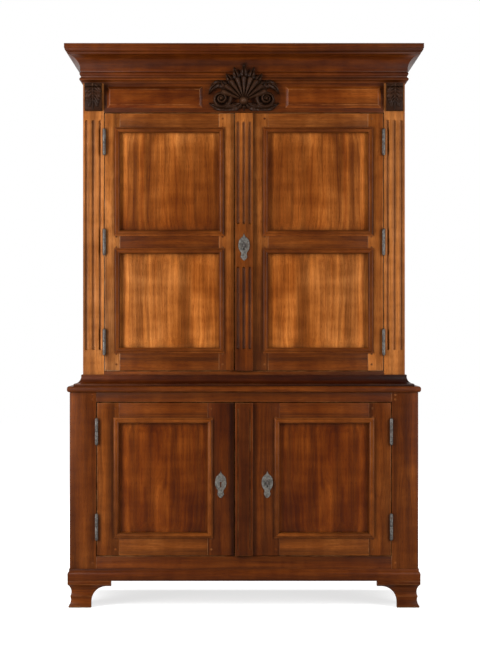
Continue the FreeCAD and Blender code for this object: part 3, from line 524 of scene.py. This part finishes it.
def boxes_of(name):
    """Low and high corners of each solid of a node."""
    places = [np.array(triangles).reshape(-1, 3) * GRID for triangles in solids_of(frame["nodes"][name])]
    return [(points.min(axis=0), points.max(axis=0)) for points in places]


def surface_of(name):
    mesh = frame["nodes"][name].data
    points = [vert.co for vert in mesh.vertices]
    return BVHTree.FromPolygons(points, [face.vertices for face in mesh.polygons])


def mark_mesh(mesh, grain, tone_and_light, wear):
    """Stores each point's place in the grain, its tone and its wear, which the materials read."""
    count = len(mesh.vertices)
    values = (
        ("grain", "FLOAT_VECTOR", "vector", grain),
        ("tone_and_light", "FLOAT", "value", np.broadcast_to(tone_and_light, count)),
        ("wear", "FLOAT", "value", np.broadcast_to(wear, count)),
    )
    for label, kind, field, data in values:
        layer = mesh.attributes.new(label, kind, "POINT")
        layer.data.foreach_set(field, np.ascontiguousarray(data, np.float32).ravel())


def points_of(mesh):
    points = np.empty(len(mesh.vertices) * 3, np.float32)
    mesh.vertices.foreach_get("co", points)
    return points.reshape(-1, 3)


def solid_mesh(triangles):
    """A solid as one closed mesh whose flat faces are whole."""
    solid = bmesh.new()
    made = {}
    for point in (point for triangle in triangles for point in triangle):
        if point not in made:
            made[point] = solid.verts.new([part * GRID for part in point])
    for triangle in triangles:
        if len(set(triangle)) == 3:
            solid.faces.new([made[point] for point in triangle])
    bmesh.ops.dissolve_limit(solid, angle_limit=FLAT_ANGLE, verts=solid.verts[:], edges=solid.edges[:])
    return solid


def ease_arrises(solid, width):
    """Rounds the outer arrises and marks their middle lines as worn."""
    wear = solid.verts.layers.float.new("wear")
    sharp = [
        edge
        for edge in solid.edges
        if edge.is_manifold and edge.is_convex and edge.calc_face_angle() > SHARP_ANGLE
    ]
    made = bmesh.ops.bevel(
        solid,
        geom=sharp,
        offset=width,
        offset_type="OFFSET",
        segments=2,
        profile=0.5,
        affect="EDGES",
        clamp_overlap=True,
    )
    eased = set(made["faces"])
    for vert in made["verts"]:
        if all(face in eased for face in vert.link_faces):
            vert[wear] = 1.0
    bmesh.ops.dissolve_degenerate(solid, dist=LEAST_EDGE, edges=solid.edges[:])


def box_of(solid):
    places = np.array([vert.co for vert in solid.verts])
    return places.min(axis=0), places.max(axis=0)


def plane_back(solid):
    """Takes the height of the nail heads off a board's back."""
    back = box_of(solid)[1][Y]
    for vert in solid.verts:
        if vert.co.y > back - NAIL["Rise"]:
            vert.co.y -= NAIL["Rise"]


def board_axes(extent, upright):
    """A solid's thin, wide and long axes; the grain of an upright board runs up, however wide it is."""
    thin, wide, along = (int(axis) for axis in np.argsort(extent, kind="stable"))
    if upright and along != Z:
        wide, along = along, Z
    return thin, wide, along


def lay_grain(solid, seed, mirrored, upright, tones_and_light):
    """Writes each corner's place in its board, along and across the grain from the pith, and its lightness:
    the board's own at random, times a gradient of painted light and shade.
    """
    grain = solid.loops.layers.float_vector.new("grain")
    shade = solid.loops.layers.float.new("tone_and_light")
    low, high = box_of(solid)
    extent = high - low
    thin, wide, along = board_axes(extent, upright)
    dice = random.Random(seed)
    pith = (
        dice.uniform(-PITH_ALONG, PITH_ALONG),
        dice.uniform(-PITH_ACROSS, PITH_ACROSS) * extent[wide],
        dice.uniform(*PITH_BEHIND),
    )
    board_tone = dice.uniform(*BOARD_TONES)
    at_low, at_high, tone_and_light_axis = tones_and_light
    middle = Vector((low + high) / 2)
    chunky = extent[wide] > CHUNKY_WIDTH * extent[along] and extent[thin] > CHUNKY_DEPTH * extent[along]
    for face in solid.faces:
        axes = (along, wide, thin)
        if chunky and abs(face.normal[along]) > END_FACING:
            axes = (wide, along, thin)
        for loop in face.loops:
            # Painted light and shade: the board is drawn lighter or darker along an axis, from at_low to
            # at_high.
            share = (loop.vert.co[tone_and_light_axis] - low[tone_and_light_axis]) / extent[tone_and_light_axis]
            loop[shade] = board_tone * (at_low + (at_high - at_low) * share)
            place = loop.vert.co - middle
            if mirrored:
                place.x = -place.x
            loop[grain] = [place[axis] + shift for axis, shift in zip(axes, pith)]


def new_piece(name, mesh, body, slot):
    """A finished object of the cupboard that moves with a body."""
    mesh.materials.clear()
    mesh.materials.append(MATERIALS[slot])
    mesh.shade_smooth()
    mesh.set_sharp_from_angle(angle=SMOOTH_ANGLE)
    piece = bpy.data.objects.new(name, mesh)
    bpy.context.scene.collection.objects.link(piece)
    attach(piece, body)
    return piece


def add_solid(whole, solid):
    """Moves a solid into the mesh of its whole node."""
    mesh = bpy.data.meshes.new("solid")
    solid.to_mesh(mesh)
    solid.free()
    whole.from_mesh(mesh)
    bpy.data.meshes.remove(mesh)


def finish_node(name):
    """Replaces a node by the same solids with eased arrises, a grain and a material."""
    node = frame["nodes"][name]
    slot = SLOT_OF[name]
    pair_name = name.replace("left", "side").replace("right", "side")
    whole = bmesh.new()
    for index, triangles in enumerate(solids_of(node)):
        solid = solid_mesh(triangles)
        tones_and_light = tones_and_painted_light_of(name, *box_of(solid))
        if name.endswith("back_boards"):
            plane_back(solid)
        ease_arrises(solid, IRON_ARRIS if slot in METALS else WOOD_ARRIS)
        lay_grain(solid, f"{pair_name} {index}", "right" in name, name.endswith(UPRIGHT_BOARDS), tones_and_light)
        add_solid(whole, solid)
    mesh = bpy.data.meshes.new(name + "_finish")
    whole.to_mesh(mesh)
    whole.free()
    piece = new_piece(mesh.name, mesh, node["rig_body"], slot)
    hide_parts(name)


# How light a board is drawn: its node, its part of the node, its tones at the low and the high end, their
# axis.
# The tones are partly the wood's own and partly painted light and shade: sheen, reflection and shade drawn
# into the boards.
TONES_AND_PAINTED_LIGHT = (
    # Upper doors: lower panels and the feet of the outer stiles are drawn lighter, in part a painted
    # reflection; the upper panels get darker towards the lock rail.
    ("upper_left_door_frame", "outer", 2.2, 1.5, Z),
    ("upper_left_door_frame", "inner", 0.55, 1.6, Z),
    ("upper_left_door_frame", "top", 1.0, 0.76, X),
    ("upper_left_door_frame", "middle", 0.66, 0.5, X),
    ("upper_right_door_frame", "outer", 1.5, 0.85, Z),
    ("upper_right_door_frame", "inner", 0.75, 1.45, Z),
    ("upper_right_door_frame", "top", 0.88, 1.1, X),
    ("upper_right_door_frame", "middle", 0.68, 0.78, X),
    ("upper_left_door_panels", "bottom", 1.22, 0.84, X),
    ("upper_left_door_panels", "top", 0.4, 0.96, Z),
    ("upper_right_door_panels", "bottom", 0.78, 1.2, X),
    ("upper_right_door_panels", "top", 0.68, 0.74, Z),
    ("upper_left_door", "", 0.66, 0.66, X),
    ("upper_right_door", "", 0.62, 0.62, X),
    ("upper_centre", "", 0.46, 1.25, Z),
    ("lower_left_door_frame", "outer", 0.8, 0.62, Z),
    ("lower_left_door_frame", "inner", 0.52, 0.3, Z),
    ("lower_left_door_frame", "bottom", 0.9, 0.72, X),
    ("lower_right_door_frame", "outer", 0.82, 0.56, Z),
    ("lower_right_door_frame", "inner", 0.52, 0.36, Z),
    ("lower_right_door_frame", "bottom", 0.74, 0.86, X),
    ("lower_left_door_panels", "", 0.43, 0.3, X),
    ("lower_right_door_panels", "", 0.3, 0.35, X),
    ("lower_left_door_mouldings", "", 0.84, 0.66, X),
    ("lower_right_door_mouldings", "", 0.66, 0.76, X),
    ("lower_left_door", "", 0.6, 0.5, X),
    ("lower_right_door", "", 0.48, 0.52, X),
    ("lower_centre", "", 0.44, 0.4, Z),
    # Upper front posts drawn lighter: partly paler wood, partly a painted sheen.
    ("upper_front_posts", "left", 1.9, 1.75, Z),
    ("upper_front_posts", "right", 1.65, 1.75, Z),
    ("upper_bottom_rail", "", 0.56, 0.56, X),
    # Waist drawn dark, deeper to the right: partly painted shade under the moulding.
    ("waist", "", 0.32, 0.1, X),
    ("plinth", "", 0.41, 0.48, X),
    # Crown drawn darker: partly painted shade at the top of the case.
    ("crown", "", 0.42, 0.44, X),
    ("bed", "", 0.5, 0.5, X),
    ("bracket", "", 0.5, 0.56, X),
    ("base_front_posts", "left", 0.62, 0.48, Z),
    ("base_front_posts", "right", 0.76, 0.48, Z),
    ("base_front_rails", "top", 0.54, 0.4, X),
    ("base_", "", 0.52, 0.52, X),
    ("frieze_rail", "", 0.38, 0.42, X),
    ("frieze_panels", "left", 0.34, 0.34, X),
    ("frieze_panels", "right", 0.56, 0.58, X),
)


def is_upright(low, high):
    return high[Z] - low[Z] > high[X] - low[X]


def part_of(name, low, high):
    """A solid's part of its node: outer or inner stile, left or right, or else bottom, middle or top."""
    middle = (low + high) / 2
    node_low, node_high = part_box(name)
    if name.endswith("door_frame") and is_upright(low, high):
        return "outer" if abs(middle[X]) > abs(node_low.x + node_high.x) / 2 else "inner"
    if "door" not in name and abs(middle[X]) > SIDE_SHARE * node_high.x:
        return "left" if middle[X] < 0 else "right"
    share = (middle[Z] - node_low.z) / (node_high.z - node_low.z)
    if share < BOTTOM_SHARE:
        return "bottom"
    return "middle" if share < MIDDLE_SHARE else "top"


def tones_and_painted_light_of(name, low, high):
    """How light a board is drawn at its low and its high end along an axis: partly its wood, partly painted
    light and shade.
    """
    part = part_of(name, low, high)
    for start, wanted, at_low, at_high, axis in TONES_AND_PAINTED_LIGHT:
        if name.startswith(start) and wanted in ("", part):
            return at_low, at_high, axis
    return 1.0, 1.0, Z


for node_name in sorted(set(frame["nodes"]) - {"frieze_ornament"}):
    finish_node(node_name)


# Carving
class Relief:
    """Carving over a grid of x and z in millimetres; each form raises the ground to its own height."""

    def __init__(self, half_width, height, step):
        columns = int(2 * half_width / step) + 1
        rows = int(height / step) + 1
        across = np.linspace(-half_width, half_width, columns)
        self.x, self.z = np.meshgrid(across, np.linspace(0, height, rows))
        self.rise = np.zeros_like(self.x)

    def add(self, form):
        self.rise = np.maximum(self.rise, form)

    def along(self, path):
        """Distance from a path and share of the way along it; the path is mirrored across x = 0."""
        path = np.array(path)
        folded = np.abs(self.x)
        nearest = np.full_like(self.x, np.inf)
        share = np.zeros_like(self.x)
        for index, (start, end) in enumerate(zip(path, path[1:])):
            step = end - start
            part = ((folded - start[0]) * step[0] + (self.z - start[1]) * step[1]) / (step @ step)
            part = np.clip(part, 0, 1)
            distance = np.hypot(folded - start[0] - part * step[0], self.z - start[1] - part * step[1])
            closer = distance < nearest
            nearest[closer] = distance[closer]
            share[closer] = (index + part[closer]) / (len(path) - 1)
        return nearest, share

    def strand(self, path, widths, crowns):
        """A rounded strand whose half width and crown change evenly along its path."""
        distance, share = self.along(path)
        width = widths[0] + (widths[1] - widths[0]) * share
        crown = crowns[0] + (crowns[1] - crowns[0]) * share
        self.add(crown * np.sqrt(np.clip(1 - (distance / width) ** 2, 0, 1)))

    def leaf(self, path, width, crown, lobes):
        """A lobed leaf with a sunk midrib and veins, widest before its middle."""
        distance, share = self.along(path)
        outline = np.sin(np.pi * np.clip(share, 0.02, 0.98) ** 0.75) ** 0.7
        reach = width * outline * (1 - LOBE_DEPTH + LOBE_DEPTH * np.abs(np.cos(np.pi * lobes * share)))
        across = distance / reach
        veins = 0.5 + 0.5 * np.cos(2 * np.pi * (lobes * share - 0.5 * across))
        midrib = 1 - MIDRIB_DEPTH * np.exp(-((across / MIDRIB_WIDTH) ** 2))
        edge = np.sqrt(np.clip((1 - across) / LEAF_EDGE, 0, 1))
        camber = 1 - LEAF_CAMBER * across**2
        self.add(crown * camber * (1 - VEIN_DEPTH + VEIN_DEPTH * veins) * midrib * edge)

    def dome(self, centre, radius, crown):
        distance = np.hypot(np.abs(self.x) - centre[0], self.z - centre[1])
        self.add(crown * np.sqrt(np.clip(1 - (distance / radius) ** 2, 0, 1)))

    def shell(self, hub, radius, spread, ribs, crown):
        """A scallop: ribs that fan upwards from the hub to a scalloped rim."""
        across = self.x - hub[0]
        up = self.z - hub[1]
        turn = np.arctan2(across, up)
        crest = np.abs(np.sin(np.pi * ribs * (turn + spread) / (2 * spread)))
        share = np.hypot(across, up) / (radius * (1 - SCALLOP_DEPTH + SCALLOP_DEPTH * crest))
        body = 0.5 + 0.5 * np.sin(0.5 * np.pi * np.clip(share, 0, 1))
        rim = np.sqrt(np.clip((1 - share) / SCALLOP_EDGE, 0, 1))
        inside = np.abs(turn) < spread
        self.add(np.where(inside, crown * body * rim * (0.5 + 0.5 * crest**0.6), 0))


def curve(points, count=40):
    """Points of a smooth curve from the first guide point to the last."""
    made = []
    for share in np.linspace(0, 1, count):
        row = np.array(points, float)
        while len(row) > 1:
            row = row[:-1] + (row[1:] - row[:-1]) * share
        made.append(row[0])
    return made


def spiral(centre, radii, turns, start, count=110):
    """Points of a spiral that closes in from the first radius to the second."""
    made = []
    for share in np.linspace(0, 1, count):
        radius = radii[0] * (radii[1] / radii[0]) ** share
        turn = start + 2 * math.pi * turns * share
        made.append((centre[0] + radius * math.cos(turn), centre[1] + radius * math.sin(turn)))
    return made


def front_of(names, x, z):
    """How far forward the named nodes reach at places in x and z, seen from the front."""
    front = np.full(x.shape, np.inf)
    for surface in map(surface_of, names):
        for index in np.ndindex(x.shape):
            start = Vector((x[index], cad_box[0].y - RAY_START, z[index]))
            hit = surface.ray_cast(start, Vector((0, 1, 0)))[0]
            if hit is not None:
                front[index] = min(front[index], hit.y)
    return front


def carved_faces(solid):
    """Fronts, backs and walls of a closed sheet over the solid part of a grid; back points come second."""
    rows, columns = solid.shape
    count = rows * columns
    number = np.arange(count).reshape(rows, columns)
    corners = (number[:-1, :-1], number[:-1, 1:], number[1:, 1:], number[1:, :-1])
    whole = solid[:-1, :-1] & solid[:-1, 1:] & solid[1:, 1:] & solid[1:, :-1]
    quads = [tuple(int(index) for index in row) for row in np.stack(corners, -1)[whole]]
    edges = {(row[side], row[(side + 1) % 4]) for row in quads for side in range(4)}
    rims = sorted((start, end) for start, end in edges if (end, start) not in edges)
    walls = [(end, start, start + count, end + count) for start, end in rims]
    backs = [tuple(index + count for index in reversed(row)) for row in quads]
    return quads + backs + walls


def drop_loose_points(mesh):
    shape = bmesh.new()
    shape.from_mesh(mesh)
    bmesh.ops.delete(shape, geom=[vert for vert in shape.verts if not vert.link_faces], context="VERTS")
    shape.to_mesh(mesh)
    shape.free()


def carved_piece(name, relief, place, base, ground, tone_and_light):
    """A closed mesh of the carving, from its front to the ground behind, where it stands clear of that."""
    x = place.x + relief.x * MM
    z = place.z + relief.z * MM
    front = base - relief.rise * MM
    solid = (relief.rise * MM > LEAST_RELIEF) & (front < ground - LEAST_RELIEF)
    points = [np.stack([x, y, z], -1).reshape(-1, 3) for y in (front, np.where(solid, ground, front))]
    mesh = bpy.data.meshes.new(name)
    mesh.from_pydata(np.concatenate(points).tolist(), [], carved_faces(solid))
    drop_loose_points(mesh)
    points = points_of(mesh)
    height = np.clip((place.y - points[:, Y]) / (relief.rise.max() * MM), 0, 1)
    grain = points[:, (X, Z, Y)] - np.array([place.x, place.z, place.y + CARVED_BLOCK_PITH])
    mark_mesh(mesh, grain, tone_and_light, CARVED_WEAR * height**3)
    return new_piece(name, mesh, "carcase", "dark_wood")


def carve_scrolls(relief, half, tall, deep):
    """A scroll at each side, linked to the middle, with leaves below and beyond it."""

    def at(across, up):
        return (across * half, up * tall)

    relief.leaf(curve([at(0.06, 0.2), at(0.5, -0.08), at(0.98, 0.2)]), 0.15 * tall, 0.45 * deep, 5)
    relief.leaf(curve([at(0.4, 0.5), at(0.7, 1.0), at(0.99, 0.46)]), 0.15 * tall, 0.5 * deep, 4)
    eye = at(0.64, 0.33)
    scroll = spiral(eye, (0.28 * tall, 0.05 * tall), 2.1, math.radians(150))
    relief.strand(scroll, (0.06 * tall, 0.03 * tall), (0.5 * deep, 0.78 * deep))
    relief.dome(eye, 0.06 * tall, 0.9 * deep)
    link = curve([at(0.08, 0.12), at(0.3, 0.04), at(0.47, 0.2)])
    relief.strand(link, (0.04 * tall, 0.055 * tall), (0.4 * deep, 0.5 * deep))


def carve_scallop(relief, tall, deep):
    """A scallop with a crest of leaves behind its rim and two beads under its hub."""
    hub = (0.0, HUB_SHARE * tall)
    longest = (1.0 - HUB_SHARE) * tall + CREST_HEIGHT - CREST_MARGIN
    for turn in CREST_TURNS:
        way = np.array([math.sin(math.radians(turn)), math.cos(math.radians(turn))])
        tip = (1.0 - SHORTER_PER_DEGREE * turn) * longest
        relief.leaf([hub + 0.5 * tall * way, hub + tip * way], 0.13 * tall, 0.68 * deep, 2)
    relief.shell(hub, 0.7 * tall, math.radians(76), 9, 0.86 * deep)
    relief.dome(hub, 0.13 * tall, 0.98 * deep)
    relief.dome((0.0, 0.1 * tall), 0.055 * tall, 0.6 * deep)
    relief.dome((0.0, 0.03 * tall), 0.03 * tall, 0.45 * deep)


def carve_ornament():
    """The carving over the doors: a scallop between scrolls, its crest on the cove of the cornice."""
    low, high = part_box("frieze_ornament")
    half = (high.x - low.x) / 2 / MM
    tall = (high.z - low.z) / MM
    deep = (high.y - low.y) / MM
    relief = Relief(half, tall + CREST_HEIGHT, ORNAMENT_STEP)
    carve_scrolls(relief, half, tall, deep)
    carve_scallop(relief, tall, deep)
    place = Vector((0, high.y, low.z))
    carriers = ("frieze_rail", "bed_moulding", "crown_moulding")
    behind = front_of(carriers, relief.x * MM, low.z + relief.z * MM)
    ground = np.minimum(behind, high.y) - SEAT_GAP
    piece = carved_piece("frieze_carving", relief, place, high.y, ground, 1.0)
    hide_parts("frieze_ornament")


def console_relief(half, tall):
    """A hanging leaf: pairs of drooping leaflets that get shorter downwards, and a midrib."""
    relief = Relief(half, tall, CONSOLE_STEP)
    for pair in range(CONSOLE_LEAFLETS):
        share = pair / CONSOLE_LEAFLETS
        root = tall * (0.97 - 0.72 * share)
        reach = half * (0.9 - 0.55 * share**1.5)
        droop = curve([(0, root), (0.55 * reach, root + 0.03 * tall), (reach, root - 0.2 * tall)])
        relief.strand(droop, (0.1 * half, 0.2 * half), (0.6 * CONSOLE_RISE, CONSOLE_RISE))
    midrib = [(0, tall), (0, 0.03 * tall)]
    relief.strand(midrib, (0.14 * half, 0.07 * half), (1.4 * CONSOLE_RISE, 0.7 * CONSOLE_RISE))
    return relief


def carve_consoles():
    """A leaf on the front of each corner console."""
    for side, (low, high) in zip(("left", "right"), boxes_of("corner_consoles")):
        half = CONSOLE_COVER * (high[X] - low[X]) / 2 / MM
        tall = CONSOLE_COVER * (high[Z] - low[Z]) / MM
        relief = console_relief(half, tall)
        foot = (low[Z] + high[Z]) / 2 - tall * MM / 2
        place = Vector(((low[X] + high[X]) / 2, low[Y], foot))
        base = front_of(("corner_consoles",), place.x + relief.x * MM, place.z + relief.z * MM)
        carved_piece(f"{side}_console_leaf", relief, place, base, base + CONSOLE_SINK, CONSOLE_TONE)


# Pegs, nails and pins
def stud_turn(tree, seed):
    """Turn of a head to its point's facing, and at random about it."""
    facing = tree.add("GeometryNodeInputNamedAttribute", {"Name": "facing"}, data_type="FLOAT_VECTOR")
    values = {"Vector": facing.outputs[0]}
    aimed = tree.add("FunctionNodeAlignRotationToVector", values, axis="Z").outputs[0]
    values = {2: 0.0, 3: math.tau, "Seed": seed}
    chance = tree.add("FunctionNodeRandomValue", values, data_type="FLOAT").outputs[1]
    spin = tree.add("FunctionNodeAxisAngleToRotation", {"Axis": (0, 0, 1), "Angle": chance}).outputs[0]
    return tree.add("FunctionNodeRotateRotation", {0: aimed, 1: spin}, rotation_space="LOCAL").outputs[0]


def make_stud_tree():
    """Sets a low tapered head on each point."""
    inputs = [
        ("Geometry", "NodeSocketGeometry", None),
        ("Radius", "NodeSocketFloat", None),
        ("Rise", "NodeSocketFloat", None),
        ("Sides", "NodeSocketInt", None),
        ("Seed", "NodeSocketInt", None),
        ("Material", "NodeSocketMaterial", None),
    ]
    outputs = [("Geometry", "NodeSocketGeometry")]
    group, tree, given = new_group("studs", inputs, outputs, "GeometryNodeTree")
    values = {
        "Vertices": given["Sides"],
        "Radius Top": tree.math("MULTIPLY", given["Radius"], HEAD_TAPER),
        "Radius Bottom": given["Radius"],
        "Depth": given["Rise"],
    }
    head = tree.add("GeometryNodeMeshCone", values).outputs["Mesh"]
    turn = stud_turn(tree, given["Seed"])
    values = {"Points": given["Geometry"], "Instance": head, "Rotation": turn}
    heads = tree.add("GeometryNodeInstanceOnPoints", values).outputs[0]
    whole = tree.add("GeometryNodeRealizeInstances", {0: heads}).outputs[0]
    values = {"Geometry": whole, "Material": given["Material"]}
    clad = tree.add("GeometryNodeSetMaterial", values).outputs[0]
    tree.add("NodeGroupOutput", {0: clad})
    return group


def add_studs(name, spots, head, tone_and_light, body, slot):
    """One piece of heads at places with facings."""
    points = bpy.data.meshes.new(name + "_points")
    points.from_pydata([place for place, facing in spots], [], [])
    facings = points.attributes.new("facing", "FLOAT_VECTOR", "POINT")
    facings.data.foreach_set("vector", np.array([facing for place, facing in spots], np.float32).ravel())
    holder = bpy.data.objects.new(name + "_points", points)
    bpy.context.scene.collection.objects.link(holder)
    modifier = holder.modifiers.new("studs", "NODES")
    modifier.node_group = STUDS
    settings = {**head, "Seed": HEAD_SEED, "Material": MATERIALS[slot]}
    for socket in STUDS.interface.items_tree:
        if socket.name in settings:
            modifier[socket.identifier] = settings[socket.name]
    bpy.context.view_layer.update()
    made = holder.evaluated_get(bpy.context.evaluated_depsgraph_get())
    mesh = bpy.data.meshes.new_from_object(made)
    mesh.name = name
    bpy.data.objects.remove(holder)
    bpy.data.meshes.remove(points)
    mark_mesh(mesh, points_of(mesh), tone_and_light, HEAD_WEAR)
    new_piece(name, mesh, body, slot)


def peg_spots(uprights, rails, run, sides):
    """Two pegs through each tenon on the given sides of its upright; the rails run along X or Y."""
    face = Y if run == X else X
    spots = []
    for (rail_low, rail_high), (low, high) in product(rails, uprights):
        start = np.maximum(low, rail_low)
        end = np.minimum(high, rail_high)
        if np.any(end - start < LEAST_TENON):
            continue
        for share, side in product(PEG_SHARES, sides):
            place = (start + end) / 2
            place[face] = low[face] if side < 0 else high[face]
            place[Z] = start[Z] + (end[Z] - start[Z]) * share
            facing = np.zeros(3)
            facing[face] = side
            spots.append((place, facing))
    return spots


def on_surface(name, side, shares):
    """Spots on a node's front, side -1, or its back, side 1, at shares of its width and height."""
    low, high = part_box(name)
    surface = surface_of(name)
    spots = []
    for across, up in shares:
        x = low.x + (high.x - low.x) * across
        z = low.z + (high.z - low.z) * up
        hit = surface.ray_cast(Vector((x, side * RAY_START, z)), Vector((0, -side, 0)))[0]
        if hit is not None:
            spots.append((hit, Vector((0, side, 0))))
    return spots


def add_door_pegs(case, hand):
    """Pegs on both faces of a door's frame, where the centre pilaster leaves them clear."""
    name = f"{case}_{hand}_door"
    boxes = boxes_of(name + "_frame")
    stiles = [box for box in boxes if is_upright(*box)]
    rails = [box for box in boxes if not is_upright(*box)]
    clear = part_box(case + "_centre_pilaster")[1].x + 2 * PEG["Radius"]
    spots = peg_spots(stiles, rails, X, (-1, 1))
    shown = [(place, facing) for place, facing in spots if abs(place[X]) > clear]
    add_studs(name + "_pegs", shown, PEG, PEG_TONE, name, "case_wood")


def add_carcase_pegs():
    """Pegs on the front of the base and on the sides of both cases."""
    spots = peg_spots(boxes_of("base_front_posts"), boxes_of("base_front_rails"), X, (-1,))
    for case in ("base", "upper"):
        posts = boxes_of(case + "_front_posts") + boxes_of(case + "_back_posts")
        rails = boxes_of(case + "_side_rails")
        for side in (-1, 1):
            near = [(low, high) for low, high in posts if low[X] * side > 0]
            spots += peg_spots(near, rails, Y, (side,))
    add_studs("carcase_pegs", spots, PEG, PEG_TONE, "carcase", "case_wood")


def add_nails():
    """Nails through the back boards, whose backs are planed down by the height of the heads."""
    spots = []
    for low, high in boxes_of("base_back_boards") + boxes_of("upper_back_boards"):
        heights = (low[Z] + NAIL_INSET, (low[Z] + high[Z]) / 2, high[Z] - NAIL_INSET)
        for across, z in product(NAIL_SHARES, heights):
            place = (low[X] + (high[X] - low[X]) * across, high[Y] - NAIL["Rise"], z)
            spots.append((place, (0, 1, 0)))
    add_studs("back_nails", spots, NAIL, 1.0, "carcase", "iron")


def add_pins():
    """Pins and screws that hold the key plates, locks and bolt plates."""
    for name, body, side, shares, slot in PINNED:
        add_studs(name + "_pins", on_surface(name, side, shares), PIN, 1.0, body, slot)


STUDS = make_stud_tree()
carve_ornament()
carve_consoles()
for case_name in ("upper", "lower"):
    for hand_name in ("left", "right"):
        add_door_pegs(case_name, hand_name)
add_carcase_pegs()
add_nails()
add_pins()


# Studio
def shows_background(tree):
    """1 on rays that show what is behind the cupboard: seen by the camera, mirrored or let through."""
    path = tree.add("ShaderNodeLightPath").outputs
    shown = tree.math("MAXIMUM", path["Is Camera Ray"], path["Is Glossy Ray"])
    return tree.math("MAXIMUM", shown, path["Is Transmission Ray"])


def make_floor_finish():
    """Pale floor, lifted to white where it is seen; near the cupboard less, so that its shadow stays."""
    material, tree = new_material("pale_floor")
    place = tree.add("ShaderNodeTexCoord").outputs["Object"]
    distance = tree.add("ShaderNodeVectorMath", {0: place}, operation="LENGTH").outputs["Value"]
    lift = tree.between(distance, *SHADOW_REACH, FLOOR_LIFT, 1.0)
    pale = tree.add("ShaderNodeBsdfDiffuse", {"Color": FLOOR_COLOUR}).outputs[0]
    white = tree.add("ShaderNodeEmission", {"Color": WHITE, "Strength": lift}).outputs[0]
    lifted = tree.add("ShaderNodeAddShader", {0: pale, 1: white}).outputs[0]
    seen = tree.add("ShaderNodeMixShader", {0: shows_background(tree), 1: pale, 2: lifted}).outputs[0]
    tree.add("ShaderNodeOutputMaterial", {"Surface": seen})
    return material


def add_floor():
    half = FLOOR_HALF
    corners = [(-half, -half, 0), (half, -half, 0), (half, half, 0), (-half, half, 0)]
    mesh = bpy.data.meshes.new("studio_floor")
    mesh.from_pydata(corners, [], [(0, 1, 2, 3)])
    mesh.materials.append(make_floor_finish())
    floor = bpy.data.objects.new("studio_floor", mesh)
    bpy.context.scene.collection.objects.link(floor)


def add_world():
    """Even light from all round, and white where the world itself is seen."""
    world = bpy.data.worlds.new("studio")
    world.use_nodes = True
    bpy.context.scene.world = world
    tree = Tree(world.node_tree)
    around = tree.add("ShaderNodeBackground", {"Color": ROOM_COLOUR, "Strength": ROOM_LIGHT}).outputs[0]
    white = tree.add("ShaderNodeBackground", {"Color": WHITE, "Strength": 1.0}).outputs[0]
    seen = tree.add("ShaderNodeMixShader", {0: shows_background(tree), 1: around, 2: white}).outputs[0]
    tree.add("ShaderNodeOutputWorld", {"Surface": seen})


def add_softbox(name, place, target, size, power):
    light = bpy.data.lights.new(name, "AREA")
    light.shape = "RECTANGLE"
    light.size, light.size_y = size
    light.energy = power
    softbox = bpy.data.objects.new(name, light)
    softbox.location = place
    softbox.rotation_euler = (Vector(target) - Vector(place)).to_track_quat("-Z", "Y").to_euler()
    bpy.context.scene.collection.objects.link(softbox)


def add_camera():
    """The photograph's view: level, from the front; the lens fits the picture's height at the cornice."""
    data = bpy.data.cameras.new("photo_camera")
    data.sensor_width = SENSOR
    data.lens = SENSOR * CAMERA_DISTANCE / (PHOTO_HEIGHT * PHOTO_SCALE)
    camera = bpy.data.objects.new("photo_camera", data)
    front = cad_box[0].y
    camera.location = (-PHOTO_SIDE_STEP * PHOTO_SCALE, front - CAMERA_DISTANCE, CAMERA_HEIGHT)
    camera.rotation_euler = (math.radians(90), 0, 0)
    bpy.context.scene.collection.objects.link(camera)
    bpy.context.scene.camera = camera


def add_studio():
    add_floor()
    add_world()
    for softbox in SOFTBOXES:
        add_softbox(*softbox)
    add_camera()
    bpy.context.scene.view_settings.view_transform = "Standard"


add_studio()
